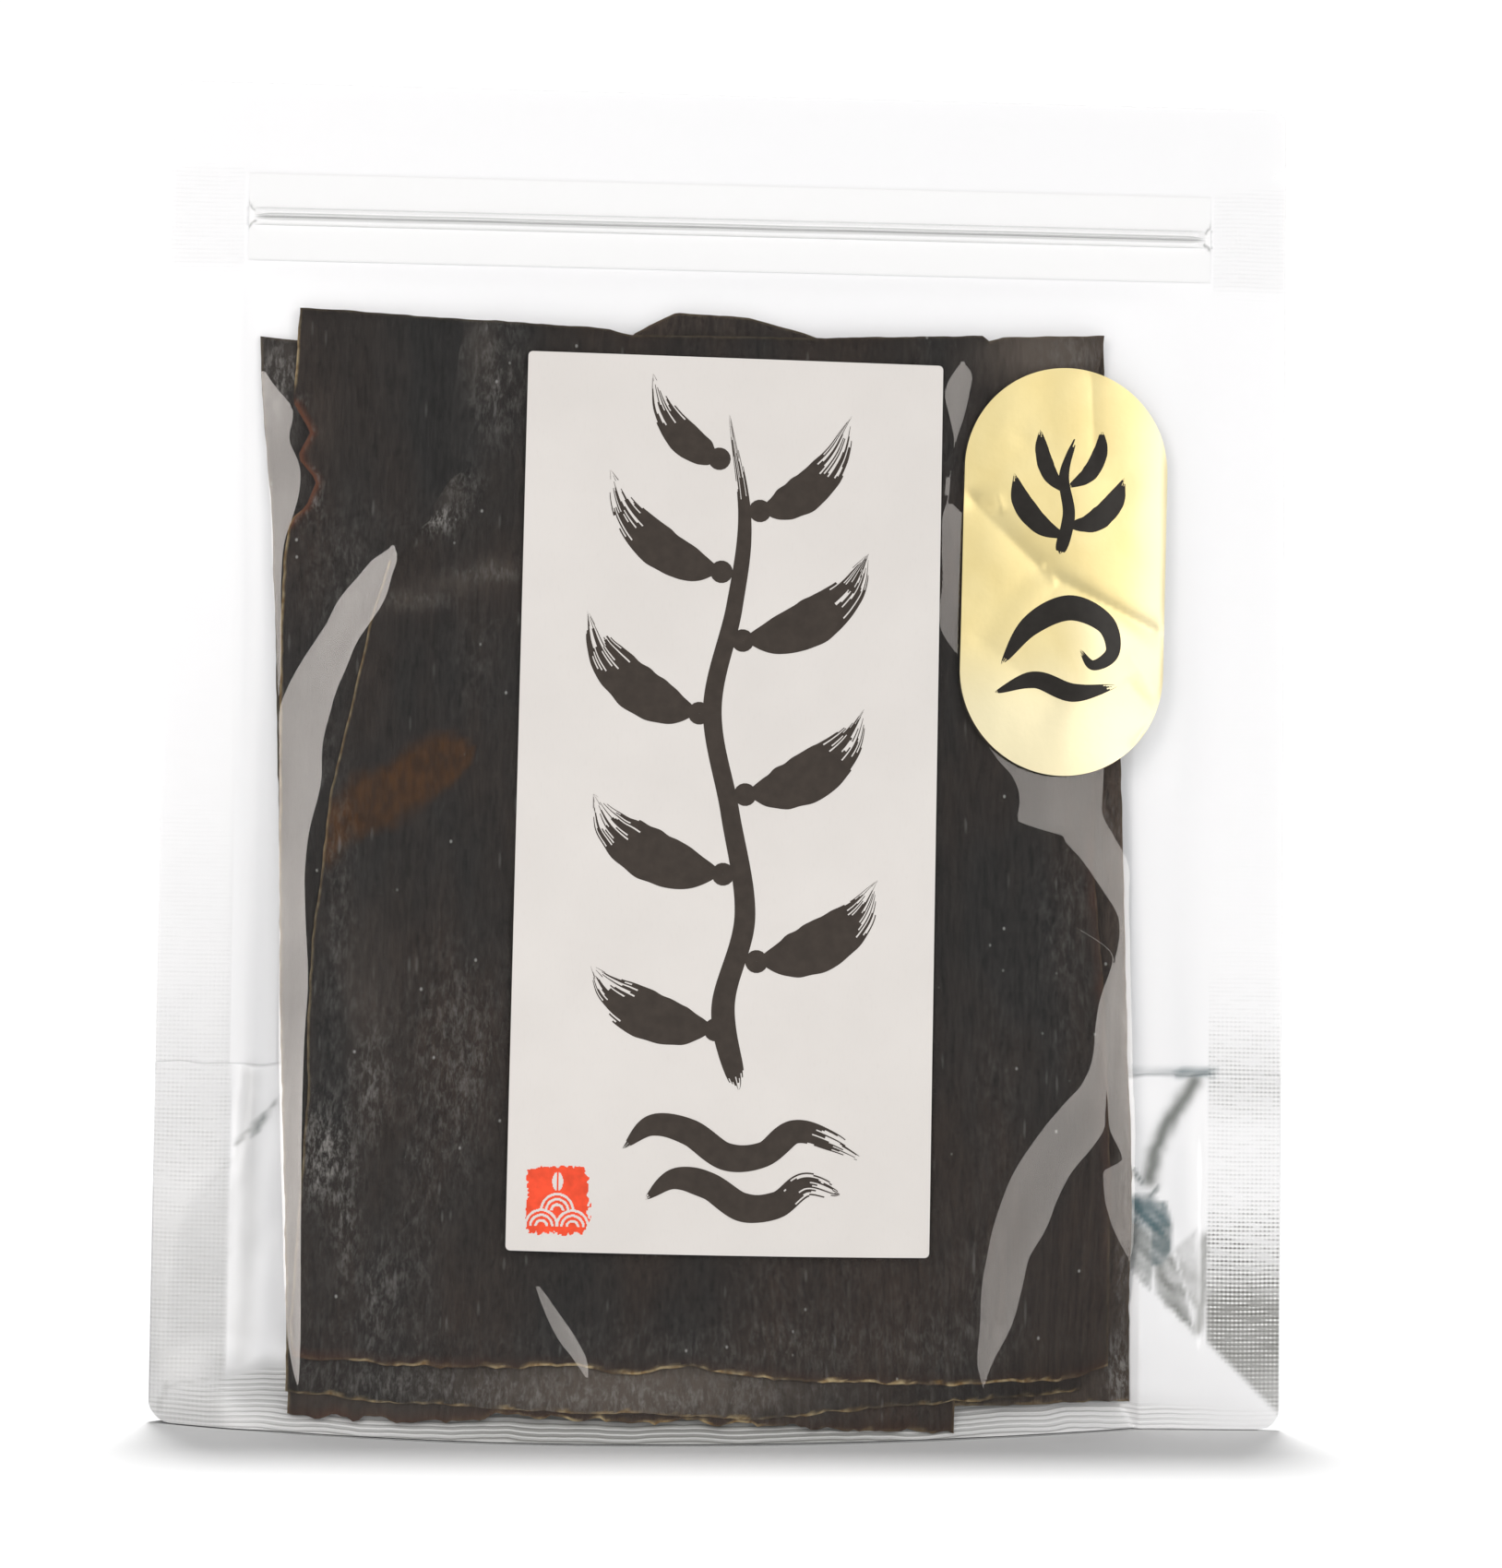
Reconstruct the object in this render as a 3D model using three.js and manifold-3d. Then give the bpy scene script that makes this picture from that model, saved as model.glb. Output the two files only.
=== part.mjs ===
// A stand-up zip pouch of dried kelp sheets: clear front film, metallised back and gusset,
// a press-to-close zip under a flat sealed header, a tall paper label and a foil sticker.
// Millimetres. +X runs to the right across the front, +Y to the back, +Z up.
// The pouch is one filled solid out to its film; the space under its folded gusset is open.

import * as THREE from "three";
import { mergeVertices } from "three/addons/utils/BufferGeometryUtils.js";
import Module from "manifold-3d";

// Driving dimensions of the pouch.
const pouchWidth = 200;
const pouchHeight = 236;
const filmStack = 0.8; // thickness where front and back are sealed together
const sideSeal = 13;
const topCornerRadius = 2;
const bottomCornerRadius = 4;

// The side seals lean back from the floor to the header.
const seamFootY = -6;
const seamHeaderY = 20;

// The kelp stack that fills the front pocket.
const kelpLeft = -80;
const kelpRight = 73;
const kelpTop = 197.5;
const kelpThickness = 9.5;
const kelpFootBulge = 16.3; // how far the front stands off the seam plane at the floor
const kelpHeadBulge = 4.5; // and at the top of the kelp
const kelpCurl = 1.8; // how much less it stands off at the kelp's long edges

// The foot: front and back rims of the open gusset.
const rimPeakX = -20;
const rimLeft = -100;
const rimRight = 75;
const frontRimBulge = 21;
const backRimBulge = 29;
const rimBlend = 60; // height over which the rim's arc turns into the flat front
const gussetHeight = 56;
const backLeg = 2.2; // back panel and gusset film together

// The back panel above the foot.
const backFootBulge = 25;
const backHeadBulge = 4;

// The zip: two moulded halves, one on each side of the header film.
const zipCentreZ = 212.2;
const zipTape = 15.6;
const zipTapeThickness = 0.5;
const zipRibHeight = 2.4;
const zipRibDepth = 1.3;
const zipEndCrush = 0.5; // extra thickness where the zip ends are pressed flat
const pieceGap = 0.3;
const filmGap = 0.6; // between the film and what is stuck on it

// Tear notches at both ends of the header.
const notchZ = 224;
const notchDepth = 2.2;
const notchHalfHeight = 1.4;

// The tall label and the foil sticker, on the front film.
const labelWidth = 74;
const labelHeight = 156.4;
const labelX = -0.5;
const labelZ = 110.4;
const labelTilt = 0.75;
const labelThickness = 0.4;
const stickerWidth = 36.8;
const stickerHeight = 72.5;
const stickerX = 59.4;
const stickerZ = 152;
const stickerTilt = 1.3;
const stickerThickness = 0.35;

const halfWidth = pouchWidth / 2;
const sealInner = halfWidth - sideSeal;
const zipBottom = zipCentreZ - zipTape / 2;
const zipTop = zipCentreZ + zipTape / 2;

const { lerp, smoothstep, degToRad } = THREE.MathUtils;

// Number rows: spans are [start, end, steps], joined end to end.
function stations(spans) {
  const values = [spans[0][0]];
  for (const [start, end, steps] of spans) {
    for (let step = 1; step <= steps; step += 1) {
      values.push(lerp(start, end, step / steps));
    }
  }
  return values;
}

// Depth of the seam plane, where front and back films meet.
function seamY(z) {
  return lerp(seamFootY, seamHeaderY, z / pouchHeight);
}

// 1 at the fullest point of the foot's rim, 0 where the rims meet.
function rimArc(x) {
  const reach = x < rimPeakX ? rimPeakX - rimLeft : rimRight - rimPeakX;
  return Math.max(0, 1 - ((x - rimPeakX) / reach) ** 2);
}

// 1 over the kelp, 0 at the side seals.
function overKelp(x) {
  return smoothstep(x, -sealInner, kelpLeft + 1.5) * (1 - smoothstep(x, kelpRight - 1.5, sealInner));
}

function underZip(z) {
  return 1 - smoothstep(z, kelpTop - 1, zipBottom - 0.4);
}

// Half thickness of the sealed films, with the pressed ends of the zip.
function sealHalf(x, z) {
  const atEnds = smoothstep(Math.abs(x), sealInner, sealInner + 1.5);
  const atZip = smoothstep(z, zipBottom - 0.8, zipBottom + 0.8) * (1 - smoothstep(z, zipTop - 0.8, zipTop + 0.8));
  return (filmStack + zipEndCrush * atEnds * atZip) / 2;
}

function frontY(x, z) {
  const plain = lerp(kelpFootBulge, kelpHeadBulge, z / kelpTop);
  const fromMiddle = (x - (kelpLeft + kelpRight) / 2) / ((kelpRight - kelpLeft) / 2);
  const overStack = overKelp(x) * (plain - kelpCurl * fromMiddle ** 2);
  const bulge = lerp(frontRimBulge * rimArc(x), overStack, smoothstep(z, 0, rimBlend));
  return seamY(z) - sealHalf(x, z) - underZip(z) * Math.max(0, bulge);
}

function backY(x, z) {
  const plain = lerp(backFootBulge, backHeadBulge, z / kelpTop);
  const bulge = lerp(backRimBulge * rimArc(x), overKelp(x) * plain, smoothstep(z, 0, rimBlend));
  return seamY(z) + sealHalf(x, z) + underZip(z) * Math.max(0, bulge);
}

// A closed solid between two grids of points that share their rows and columns.
function panelSolid(columns, rows, frontAt, backAt) {
  const positions = [];
  const indices = [];
  for (const pointAt of [frontAt, backAt]) {
    for (let i = 0; i < columns; i += 1) {
      for (let j = 0; j < rows; j += 1) {
        positions.push(...pointAt(i, j));
      }
    }
  }
  const front = (i, j) => i * rows + j;
  const back = (i, j) => (columns + i) * rows + j;
  const quad = (a, b, c, d) => indices.push(a, b, c, a, c, d);
  for (let i = 0; i + 1 < columns; i += 1) {
    for (let j = 0; j + 1 < rows; j += 1) {
      quad(front(i, j), front(i + 1, j), front(i + 1, j + 1), front(i, j + 1));
      quad(back(i, j), back(i, j + 1), back(i + 1, j + 1), back(i + 1, j));
    }
    quad(back(i, 0), back(i + 1, 0), front(i + 1, 0), front(i, 0));
    quad(front(i, rows - 1), front(i + 1, rows - 1), back(i + 1, rows - 1), back(i, rows - 1));
  }
  for (let j = 0; j + 1 < rows; j += 1) {
    quad(back(0, j), front(0, j), front(0, j + 1), back(0, j + 1));
    quad(front(columns - 1, j), back(columns - 1, j), back(columns - 1, j + 1), front(columns - 1, j + 1));
  }
  const geometry = new THREE.BufferGeometry();
  geometry.setAttribute("position", new THREE.Float32BufferAttribute(positions, 3));
  geometry.setIndex(indices);
  return geometry;
}

// How far a rounded corner of this radius cuts in, this far from the side edge.
function cornerInset(radius, fromEdge) {
  const inside = Math.max(0, radius - fromEdge);
  return radius - Math.sqrt(radius ** 2 - inside ** 2);
}

function pouchOuter() {
  const xs = stations([
    [-halfWidth, -halfWidth + bottomCornerRadius, 4],
    [-halfWidth + bottomCornerRadius, -sealInner, 2],
    [-sealInner, kelpLeft + 1.5, 5],
    [kelpLeft + 1.5, kelpRight - 1.5, 14],
    [kelpRight - 1.5, sealInner, 6],
    [sealInner, halfWidth - bottomCornerRadius, 2],
    [halfWidth - bottomCornerRadius, halfWidth, 4],
  ]);
  const zs = stations([
    [0, rimBlend, 9],
    [rimBlend, kelpTop - 10, 8],
    [kelpTop - 10, zipBottom - 0.8, 7],
    [zipBottom - 0.8, zipBottom + 0.8, 1],
    [zipBottom + 0.8, zipTop - 0.8, 2],
    [zipTop - 0.8, zipTop + 0.8, 1],
    [zipTop + 0.8, pouchHeight, 4],
  ]);
  const heightAt = (i, j) => {
    const fromEdge = halfWidth - Math.abs(xs[i]);
    const low = cornerInset(bottomCornerRadius, fromEdge);
    const high = pouchHeight - cornerInset(topCornerRadius, fromEdge);
    return lerp(low, high, zs[j] / pouchHeight);
  };
  const pointOn = (surface) => (i, j) => [xs[i], surface(xs[i], heightAt(i, j)), heightAt(i, j)];
  return panelSolid(xs.length, zs.length, pointOn(frontY), pointOn(backY));
}

// The open space under the gusset: a pointed arch from the front leg to the back leg.
function gussetSpace() {
  const below = 2;
  const archRows = 12;
  const frontLeg = (x) => lerp(backLeg, kelpThickness, overKelp(x));
  const spanAt = (x, z) => [frontY(x, z) + frontLeg(x), backY(x, z) - backLeg];
  const least = 1;
  const open = stations([[rimLeft, rimRight, 350]]).filter((x) => {
    const [near, far] = spanAt(x, 0);
    return far - near > least;
  });
  const first = open[0];
  const last = open[open.length - 1];
  const xs = stations([[first, first + 15, 5], [first + 15, last - 15, 12], [last - 15, last, 5]]);
  const heightAt = (x) => {
    const along = (2 * (x - first)) / (last - first) - 1;
    return 4 + (gussetHeight - 4) * (1 - Math.abs(along) ** 5);
  };
  const archPoint = (i, j) => {
    const turn = j / archRows;
    const x = xs[i];
    const z = heightAt(x) * Math.sin(Math.PI * turn) ** 0.8;
    const [near, far] = spanAt(x, z);
    return [x, lerp(near, far, (1 - Math.cos(Math.PI * turn)) / 2), z];
  };
  const floorPoint = (i, j) => {
    const [near, far] = spanAt(xs[i], 0);
    return [xs[i], lerp(near, far, (1 - Math.cos((Math.PI * j) / archRows)) / 2), -below];
  };
  return panelSolid(xs.length, archRows + 1, archPoint, floorPoint);
}

// A V-shaped wedge that runs through the header at its side edge.
function notchWedge(side) {
  const outline = new THREE.Shape();
  outline.moveTo(0, -notchHalfHeight);
  outline.lineTo(1, -notchHalfHeight);
  outline.lineTo(1, notchHalfHeight);
  outline.lineTo(0, notchHalfHeight);
  outline.lineTo(-notchDepth, 0);
  outline.closePath();
  const wedge = new THREE.ExtrudeGeometry(outline, { depth: 20, bevelEnabled: false });
  wedge.rotateX(Math.PI / 2);
  if (side < 0) {
    wedge.rotateZ(Math.PI);
  }
  wedge.translate(side * halfWidth, seamY(notchZ) + side * 10, notchZ);
  return wedge;
}

const wasm = await Module();
wasm.setup();

function toManifold(geometry) {
  const bare = geometry.clone();
  bare.deleteAttribute("normal");
  bare.deleteAttribute("uv");
  const merged = mergeVertices(bare, 1e-4);
  return new wasm.Manifold(new wasm.Mesh({
    numProp: 3,
    vertProperties: Float32Array.from(merged.attributes.position.array),
    triVerts: Uint32Array.from(merged.index.array),
  }));
}

function toGeometry(solid) {
  const mesh = solid.getMesh();
  const geometry = new THREE.BufferGeometry();
  geometry.setAttribute("position", new THREE.Float32BufferAttribute(mesh.vertProperties, 3));
  geometry.setIndex([...mesh.triVerts]);
  return geometry;
}

function pouchGeometry() {
  let body = toManifold(pouchOuter());
  for (const cut of [gussetSpace(), notchWedge(-1), notchWedge(1)]) {
    body = body.subtract(toManifold(cut));
  }
  return toGeometry(body);
}

// A thin piece stuck on the front film, cut to an outline that is given row by row.
function stickerGeometry({ x, z, tilt, rowHeights, columns, halfWidthAt, thickness }) {
  const turn = -degToRad(tilt);
  const placeAt = (i, j) => {
    const across = (2 * i / columns - 1) * halfWidthAt(rowHeights[j]);
    const up = rowHeights[j];
    return [
      x + across * Math.cos(turn) - up * Math.sin(turn),
      z + across * Math.sin(turn) + up * Math.cos(turn),
    ];
  };
  const layer = (offset) => (i, j) => {
    const [px, pz] = placeAt(i, j);
    return [px, frontY(px, pz) - offset, pz];
  };
  return panelSolid(columns + 1, rowHeights.length, layer(filmGap + thickness), layer(filmGap));
}

function labelGeometry() {
  return stickerGeometry({
    x: labelX,
    z: labelZ,
    tilt: labelTilt,
    rowHeights: stations([[-labelHeight / 2, labelHeight / 2, 14]]),
    columns: 8,
    halfWidthAt: () => labelWidth / 2,
    thickness: labelThickness,
  });
}

// The foil sticker is a stadium: straight sides with a half circle at each end.
function foilGeometry() {
  const radius = stickerWidth / 2;
  const straight = stickerHeight / 2 - radius;
  const endSteps = 6;
  const endHeights = [];
  for (let step = 1; step <= endSteps; step += 1) {
    endHeights.push(straight + radius * Math.sin((Math.PI / 2) * 0.94 * (step / endSteps)));
  }
  return stickerGeometry({
    x: stickerX,
    z: stickerZ,
    tilt: stickerTilt,
    rowHeights: [
      ...endHeights.map((height) => -height).reverse(),
      ...stations([[-straight, straight, 4]]),
      ...endHeights,
    ],
    columns: 10,
    halfWidthAt: (up) => Math.sqrt(radius ** 2 - Math.max(0, Math.abs(up) - straight) ** 2),
    thickness: stickerThickness,
  });
}

// One zip half: a flat tape with a rounded double rib along its middle.
function zipGeometry() {
  const outline = new THREE.Shape();
  const rib = zipRibHeight / 2;
  outline.moveTo(-zipTape / 2, 0);
  outline.lineTo(zipTape / 2, 0);
  outline.lineTo(zipTape / 2, zipTapeThickness);
  outline.lineTo(rib + 0.4, zipTapeThickness);
  outline.lineTo(rib, zipRibDepth);
  outline.lineTo(0.3, zipRibDepth);
  outline.lineTo(0, zipRibDepth - 0.4);
  outline.lineTo(-0.3, zipRibDepth);
  outline.lineTo(-rib, zipRibDepth);
  outline.lineTo(-rib - 0.4, zipTapeThickness);
  outline.lineTo(-zipTape / 2, zipTapeThickness);
  outline.closePath();
  const length = 2 * (sealInner - 0.8);
  const strip = new THREE.ExtrudeGeometry(outline, { depth: length, bevelEnabled: false });
  strip.translate(0, 0, -length / 2);
  return strip;
}

// Turns the section's first axis to +Z and its depth towards the front or the back.
function placeZip(mesh, side) {
  const lean = Math.atan2(seamHeaderY - seamFootY, pouchHeight);
  const along = new THREE.Vector3(side, 0, 0);
  const up = new THREE.Vector3(0, Math.sin(lean), Math.cos(lean));
  const out = new THREE.Vector3(0, side * Math.cos(lean), -side * Math.sin(lean));
  mesh.quaternion.setFromRotationMatrix(new THREE.Matrix4().makeBasis(up, out, along.negate()));
  const standOff = filmStack / 2 + pieceGap;
  mesh.position.set(0, seamY(zipCentreZ), zipCentreZ).addScaledVector(out, standOff);
}

function piece(name, geometry, colour, roughness, metalness) {
  const material = new THREE.MeshStandardMaterial({ color: colour, roughness, metalness });
  const mesh = new THREE.Mesh(geometry, material);
  mesh.name = name;
  return mesh;
}

const zipFront = piece("zip_front_half", zipGeometry(), 0xe8ecee, 0.25, 0);
placeZip(zipFront, -1);
const zipBack = piece("zip_back_half", zipGeometry(), 0xe8ecee, 0.25, 0);
placeZip(zipBack, 1);

const pouch = new THREE.Group();
pouch.add(
  piece("pouch", pouchGeometry(), 0x2b2622, 0.3, 0),
  zipFront,
  zipBack,
  piece("label", labelGeometry(), 0xe5e0de, 0.55, 0),
  piece("foil_sticker", foilGeometry(), 0xe2cc72, 0.3, 0.8),
);

// The origin is the middle of the box's floor.
const box = new THREE.Box3().setFromObject(pouch, true);
const middle = box.getCenter(new THREE.Vector3());
pouch.position.set(-middle.x, -middle.y, -box.min.z);

export default pouch;
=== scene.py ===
import math

import bpy
import numpy as np
from mathutils import Matrix, Vector


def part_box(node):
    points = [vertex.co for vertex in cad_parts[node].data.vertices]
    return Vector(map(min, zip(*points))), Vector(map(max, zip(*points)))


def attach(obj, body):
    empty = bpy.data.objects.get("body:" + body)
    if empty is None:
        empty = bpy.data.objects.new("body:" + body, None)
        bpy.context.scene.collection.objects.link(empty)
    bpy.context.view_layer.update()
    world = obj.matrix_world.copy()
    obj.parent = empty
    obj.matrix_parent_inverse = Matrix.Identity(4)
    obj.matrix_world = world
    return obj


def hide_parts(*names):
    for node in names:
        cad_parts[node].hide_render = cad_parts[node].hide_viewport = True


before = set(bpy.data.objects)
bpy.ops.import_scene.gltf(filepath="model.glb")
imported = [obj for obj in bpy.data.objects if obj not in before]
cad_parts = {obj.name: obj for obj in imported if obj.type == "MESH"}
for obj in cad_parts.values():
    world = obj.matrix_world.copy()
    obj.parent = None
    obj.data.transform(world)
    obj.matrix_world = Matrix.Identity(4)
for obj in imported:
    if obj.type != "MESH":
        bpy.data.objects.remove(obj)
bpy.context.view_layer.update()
mm = 0.001
bagLow, bagHigh = (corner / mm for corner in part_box("pouch"))
bagHeight = bagHigh.z
halfWidth = bagHigh.x
print("frame loaded: bag", round(2 * halfWidth), "x", round(bagHeight), "mm")

# The bag's own shape in millimetres: x across, z up, y back from the clear front.
bag = {
    "filmStack": 0.8,
    "sideSeal": 13,
    "headCorner": 2,
    "footCorner": 4,
    "seamFootY": -6,  # the side seals lean back from floor to header
    "seamHeadY": 20,
    "kelpLeft": -80,
    "kelpRight": 73,
    "kelpTop": 197.5,
    "footBulge": 16.3,
    "headBulge": 4.5,
    "kelpCurl": 1.8,
    "leftShoulder": [(0, -78.5), (145, -79), (158, -81), (172, -82.6), (190, -84), (205, -84)],
    "rightShoulder": [(60, 71.5), (115, 66)],
    "bridge": {"from": 58, "ease": 19.8, "drop": 0.28, "end": 76.5},  # under the foil sticker
    "bridgeHeights": (106, 122, 182, 197),
    "rimPeakX": -20,
    "rimLeft": -100,
    "rimRight": 75,
    "frontRim": 21,
    "backRim": 29,
    "rimBlend": 60,
    "backFoot": 25,
    "backHead": 4,
    "backSpan": (-79, -50, 44, 75),  # where it starts and is full at the left, then at the right
    "zipZ": 212.2,
    "zipTape": 15.6,
    "notchZ": 224,
    "notchDepth": 2.2,
    "notchHalf": 1.4,
}
sealInner = halfWidth - bag["sideSeal"]
zipLow = bag["zipZ"] - bag["zipTape"] / 2
zipHigh = bag["zipZ"] + bag["zipTape"] / 2


def smooth(value, start, end):
    t = np.clip((value - start) / (end - start), 0, 1)
    return t * t * (3 - 2 * t)


def mix(a, b, t):
    return a + (b - a) * t


def along(points, value):  # straight lines through (station, value) pairs
    ordered = sorted(points)
    return np.interp(value, [p[0] for p in ordered], [p[1] for p in ordered])


def lattice(x, z, cell, seed):  # soft noise from -1 to 1, its lumps about cell wide
    table = np.random.default_rng(seed).uniform(-1, 1, (128, 128))
    u, v = np.asarray(x) / cell[0] + 64.3, np.asarray(z) / cell[1] + 17.7
    i, j = np.floor(u).astype(int), np.floor(v).astype(int)
    s, t = u - i, v - j
    s, t = s * s * (3 - 2 * s), t * t * (3 - 2 * t)
    low = mix(table[i % 128, j % 128], table[(i + 1) % 128, j % 128], s)
    high = mix(table[i % 128, (j + 1) % 128], table[(i + 1) % 128, (j + 1) % 128], s)
    return mix(low, high, t)


def awayFrom(x, z, line):  # distance to a broken line
    nearest = np.full(np.broadcast(x, z).shape, 1e9)
    for (ax, az), (bx, bz) in zip(line, line[1:]):
        run = (bx - ax) ** 2 + (bz - az) ** 2
        t = np.clip(((x - ax) * (bx - ax) + (z - az) * (bz - az)) / run, 0, 1)
        nearest = np.minimum(nearest, np.hypot(x - ax - t * (bx - ax), z - az - t * (bz - az)))
    return nearest


def inside(x, z, corners):  # distance inside a convex patch whose corners run clockwise
    depth = np.full(np.broadcast(x, z).shape, 1e9)
    for (ax, az), (bx, bz) in zip(corners, corners[1:] + corners[:1]):
        side = (x - ax) * (bz - az) - (z - az) * (bx - ax)
        depth = np.minimum(depth, side / math.hypot(bx - ax, bz - az))
    return depth


def throughPoints(stations, values, t):  # a smooth curve through the values at these stations
    slopes = np.gradient(values, stations)
    k = np.clip(np.searchsorted(stations, t) - 1, 0, len(stations) - 2)
    run = stations[k + 1] - stations[k]
    s = (t - stations[k]) / run
    a, b = values[k], values[k + 1]
    start = (2 * s**3 - 3 * s**2 + 1) * a + (s**3 - 2 * s**2 + s) * run * slopes[k]
    return start + (3 * s**2 - 2 * s**3) * b + (s**3 - s**2) * run * slopes[k + 1]


def seamY(z):
    return mix(bag["seamFootY"], bag["seamHeadY"], z / bagHeight)


def rimArc(x):
    reach = np.where(x < bag["rimPeakX"], bag["rimPeakX"] - bag["rimLeft"], bag["rimRight"] - bag["rimPeakX"])
    return np.maximum(0, 1 - ((x - bag["rimPeakX"]) / reach) ** 2)


def overKelp(x, z):  # 1 over the sheets, 0 at the side seals
    right = 1 - smooth(x, along(bag["rightShoulder"], z), sealInner)
    b = bag["bridge"]
    bridge = 1 - b["drop"] * np.clip((x - b["from"]) / b["ease"], 0, 1.4) ** 2
    bridge = bridge * (1 - smooth(x, b["end"], sealInner))
    low, lowFull, highFull, high = bag["bridgeHeights"]
    bridged = smooth(z, low, lowFull) * (1 - smooth(z, highFull, high))  # the stiff foil holds it out
    right = mix(right, bridge, bridged)
    return smooth(x, -sealInner, along(bag["leftShoulder"], z)) * right


def underZip(z):
    return 1 - smooth(z, bag["kelpTop"] - 1, zipLow - 0.4)


def frontFace(x, z, across=None):  # y of the clear front; across is the share of the kelp's bulge
    across = overKelp(x, z) if across is None else across
    plain = mix(bag["footBulge"], bag["headBulge"], z / bag["kelpTop"])
    middle = (bag["kelpLeft"] + bag["kelpRight"]) / 2
    fromMiddle = (x - middle) / (bag["kelpRight"] - middle)
    stack = across * (plain - bag["kelpCurl"] * fromMiddle**2)
    bulge = mix(bag["frontRim"] * rimArc(x), stack, smooth(z, 0, bag["rimBlend"]))
    return seamY(z) - bag["filmStack"] / 2 - underZip(z) * np.maximum(0, bulge)


def backFace(x, z):  # flat beside the sheets, full behind them
    plain = mix(bag["backFoot"], bag["backHead"], z / bag["kelpTop"])
    left, leftFull, rightFull, right = bag["backSpan"]
    behind = smooth(x, left, leftFull) * (1 - smooth(x, rightFull, right))
    bulge = mix(bag["backRim"] * rimArc(x), behind * plain, smooth(z, 0, bag["rimBlend"]))
    return seamY(z) + bag["filmStack"] / 2 + (1 - smooth(z, 176, 195)) * np.maximum(0, bulge)


shiftY = bagLow.y - float(frontFace(np.array(bag["rimPeakX"]), 0.0))  # the frame's y of this shape's y 0


# Mesh helpers. Points are given in millimetres and built in metres.


sharpAngle = math.radians(35)


def makeObject(name, points, faces, attributes, material):
    points = np.asarray(points, float) + (0, shiftY, 0)
    mesh = bpy.data.meshes.new(name)
    mesh.from_pydata((points * mm).tolist(), [], faces.tolist())
    for key, values in attributes.items():
        mesh.attributes.new(key, "FLOAT", "POINT").data.foreach_set("value", values.astype(np.float32))
    mesh.materials.append(material)
    mesh.shade_smooth()
    mesh.set_sharp_from_angle(angle=sharpAngle)
    mesh.update()
    piece = bpy.data.objects.new(name, mesh)
    bpy.context.scene.collection.objects.link(piece)
    return piece


def shellArrays(front, back, keep=None):  # closed skin between two grids; keep says which cells are there
    rows, columns = front.shape[:2]
    count = rows * columns
    number = np.arange(count).reshape(rows, columns)
    a, b, c, d = number[:-1, :-1], number[:-1, 1:], number[1:, 1:], number[1:, :-1]
    keep = np.ones(a.shape, bool) if keep is None else keep
    ring = np.pad(keep, 1)
    rims = [
        (keep & ~ring[1:-1, :-2], (a + count, a, d, d + count)),
        (keep & ~ring[1:-1, 2:], (b, b + count, c + count, c)),
        (keep & ~ring[:-2, 1:-1], (a + count, b + count, b, a)),
        (keep & ~ring[2:, 1:-1], (d, c, c + count, d + count)),
    ]
    faces = [np.stack((a, b, c, d), -1)[keep], np.stack((d, c, b, a), -1)[keep] + count]
    faces += [np.stack(corners, -1)[edge] for edge, corners in rims]
    faces = np.concatenate(faces)
    points = np.concatenate((front.reshape(-1, 3), back.reshape(-1, 3)))
    used, faces = np.unique(faces, return_inverse=True)
    return points[used], faces.reshape(-1, 4), used


def shell(name, front, back, material, attributes=None):
    points, faces, used = shellArrays(front, back)
    shape = front.shape[:2]
    fields = {key: np.broadcast_to(field, shape) for key, field in (attributes or {}).items()}
    values = {key: np.tile(field.ravel(), 2)[used] for key, field in fields.items()}
    values["rear"] = np.repeat((0.0, 1.0), front.shape[0] * front.shape[1])[used]
    return makeObject(name, points, faces, values, material)


def grid(x, y, z):
    return np.stack(np.broadcast_arrays(x, y, z), -1).astype(float)


def offset(points, distance):  # the grid moved along its own normals, towards the back
    across = np.gradient(points, axis=1)
    up = np.gradient(points, axis=0)
    normal = np.cross(up, across)
    normal /= np.maximum(np.linalg.norm(normal, axis=-1, keepdims=True), 1e-9)
    return points + normal * distance


def finished(piece, slot, *nodes):
    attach(piece, "root")
    if nodes:
        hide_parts(*nodes)
    print(piece.name, "made:", len(piece.data.polygons), "faces")
    return piece


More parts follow.
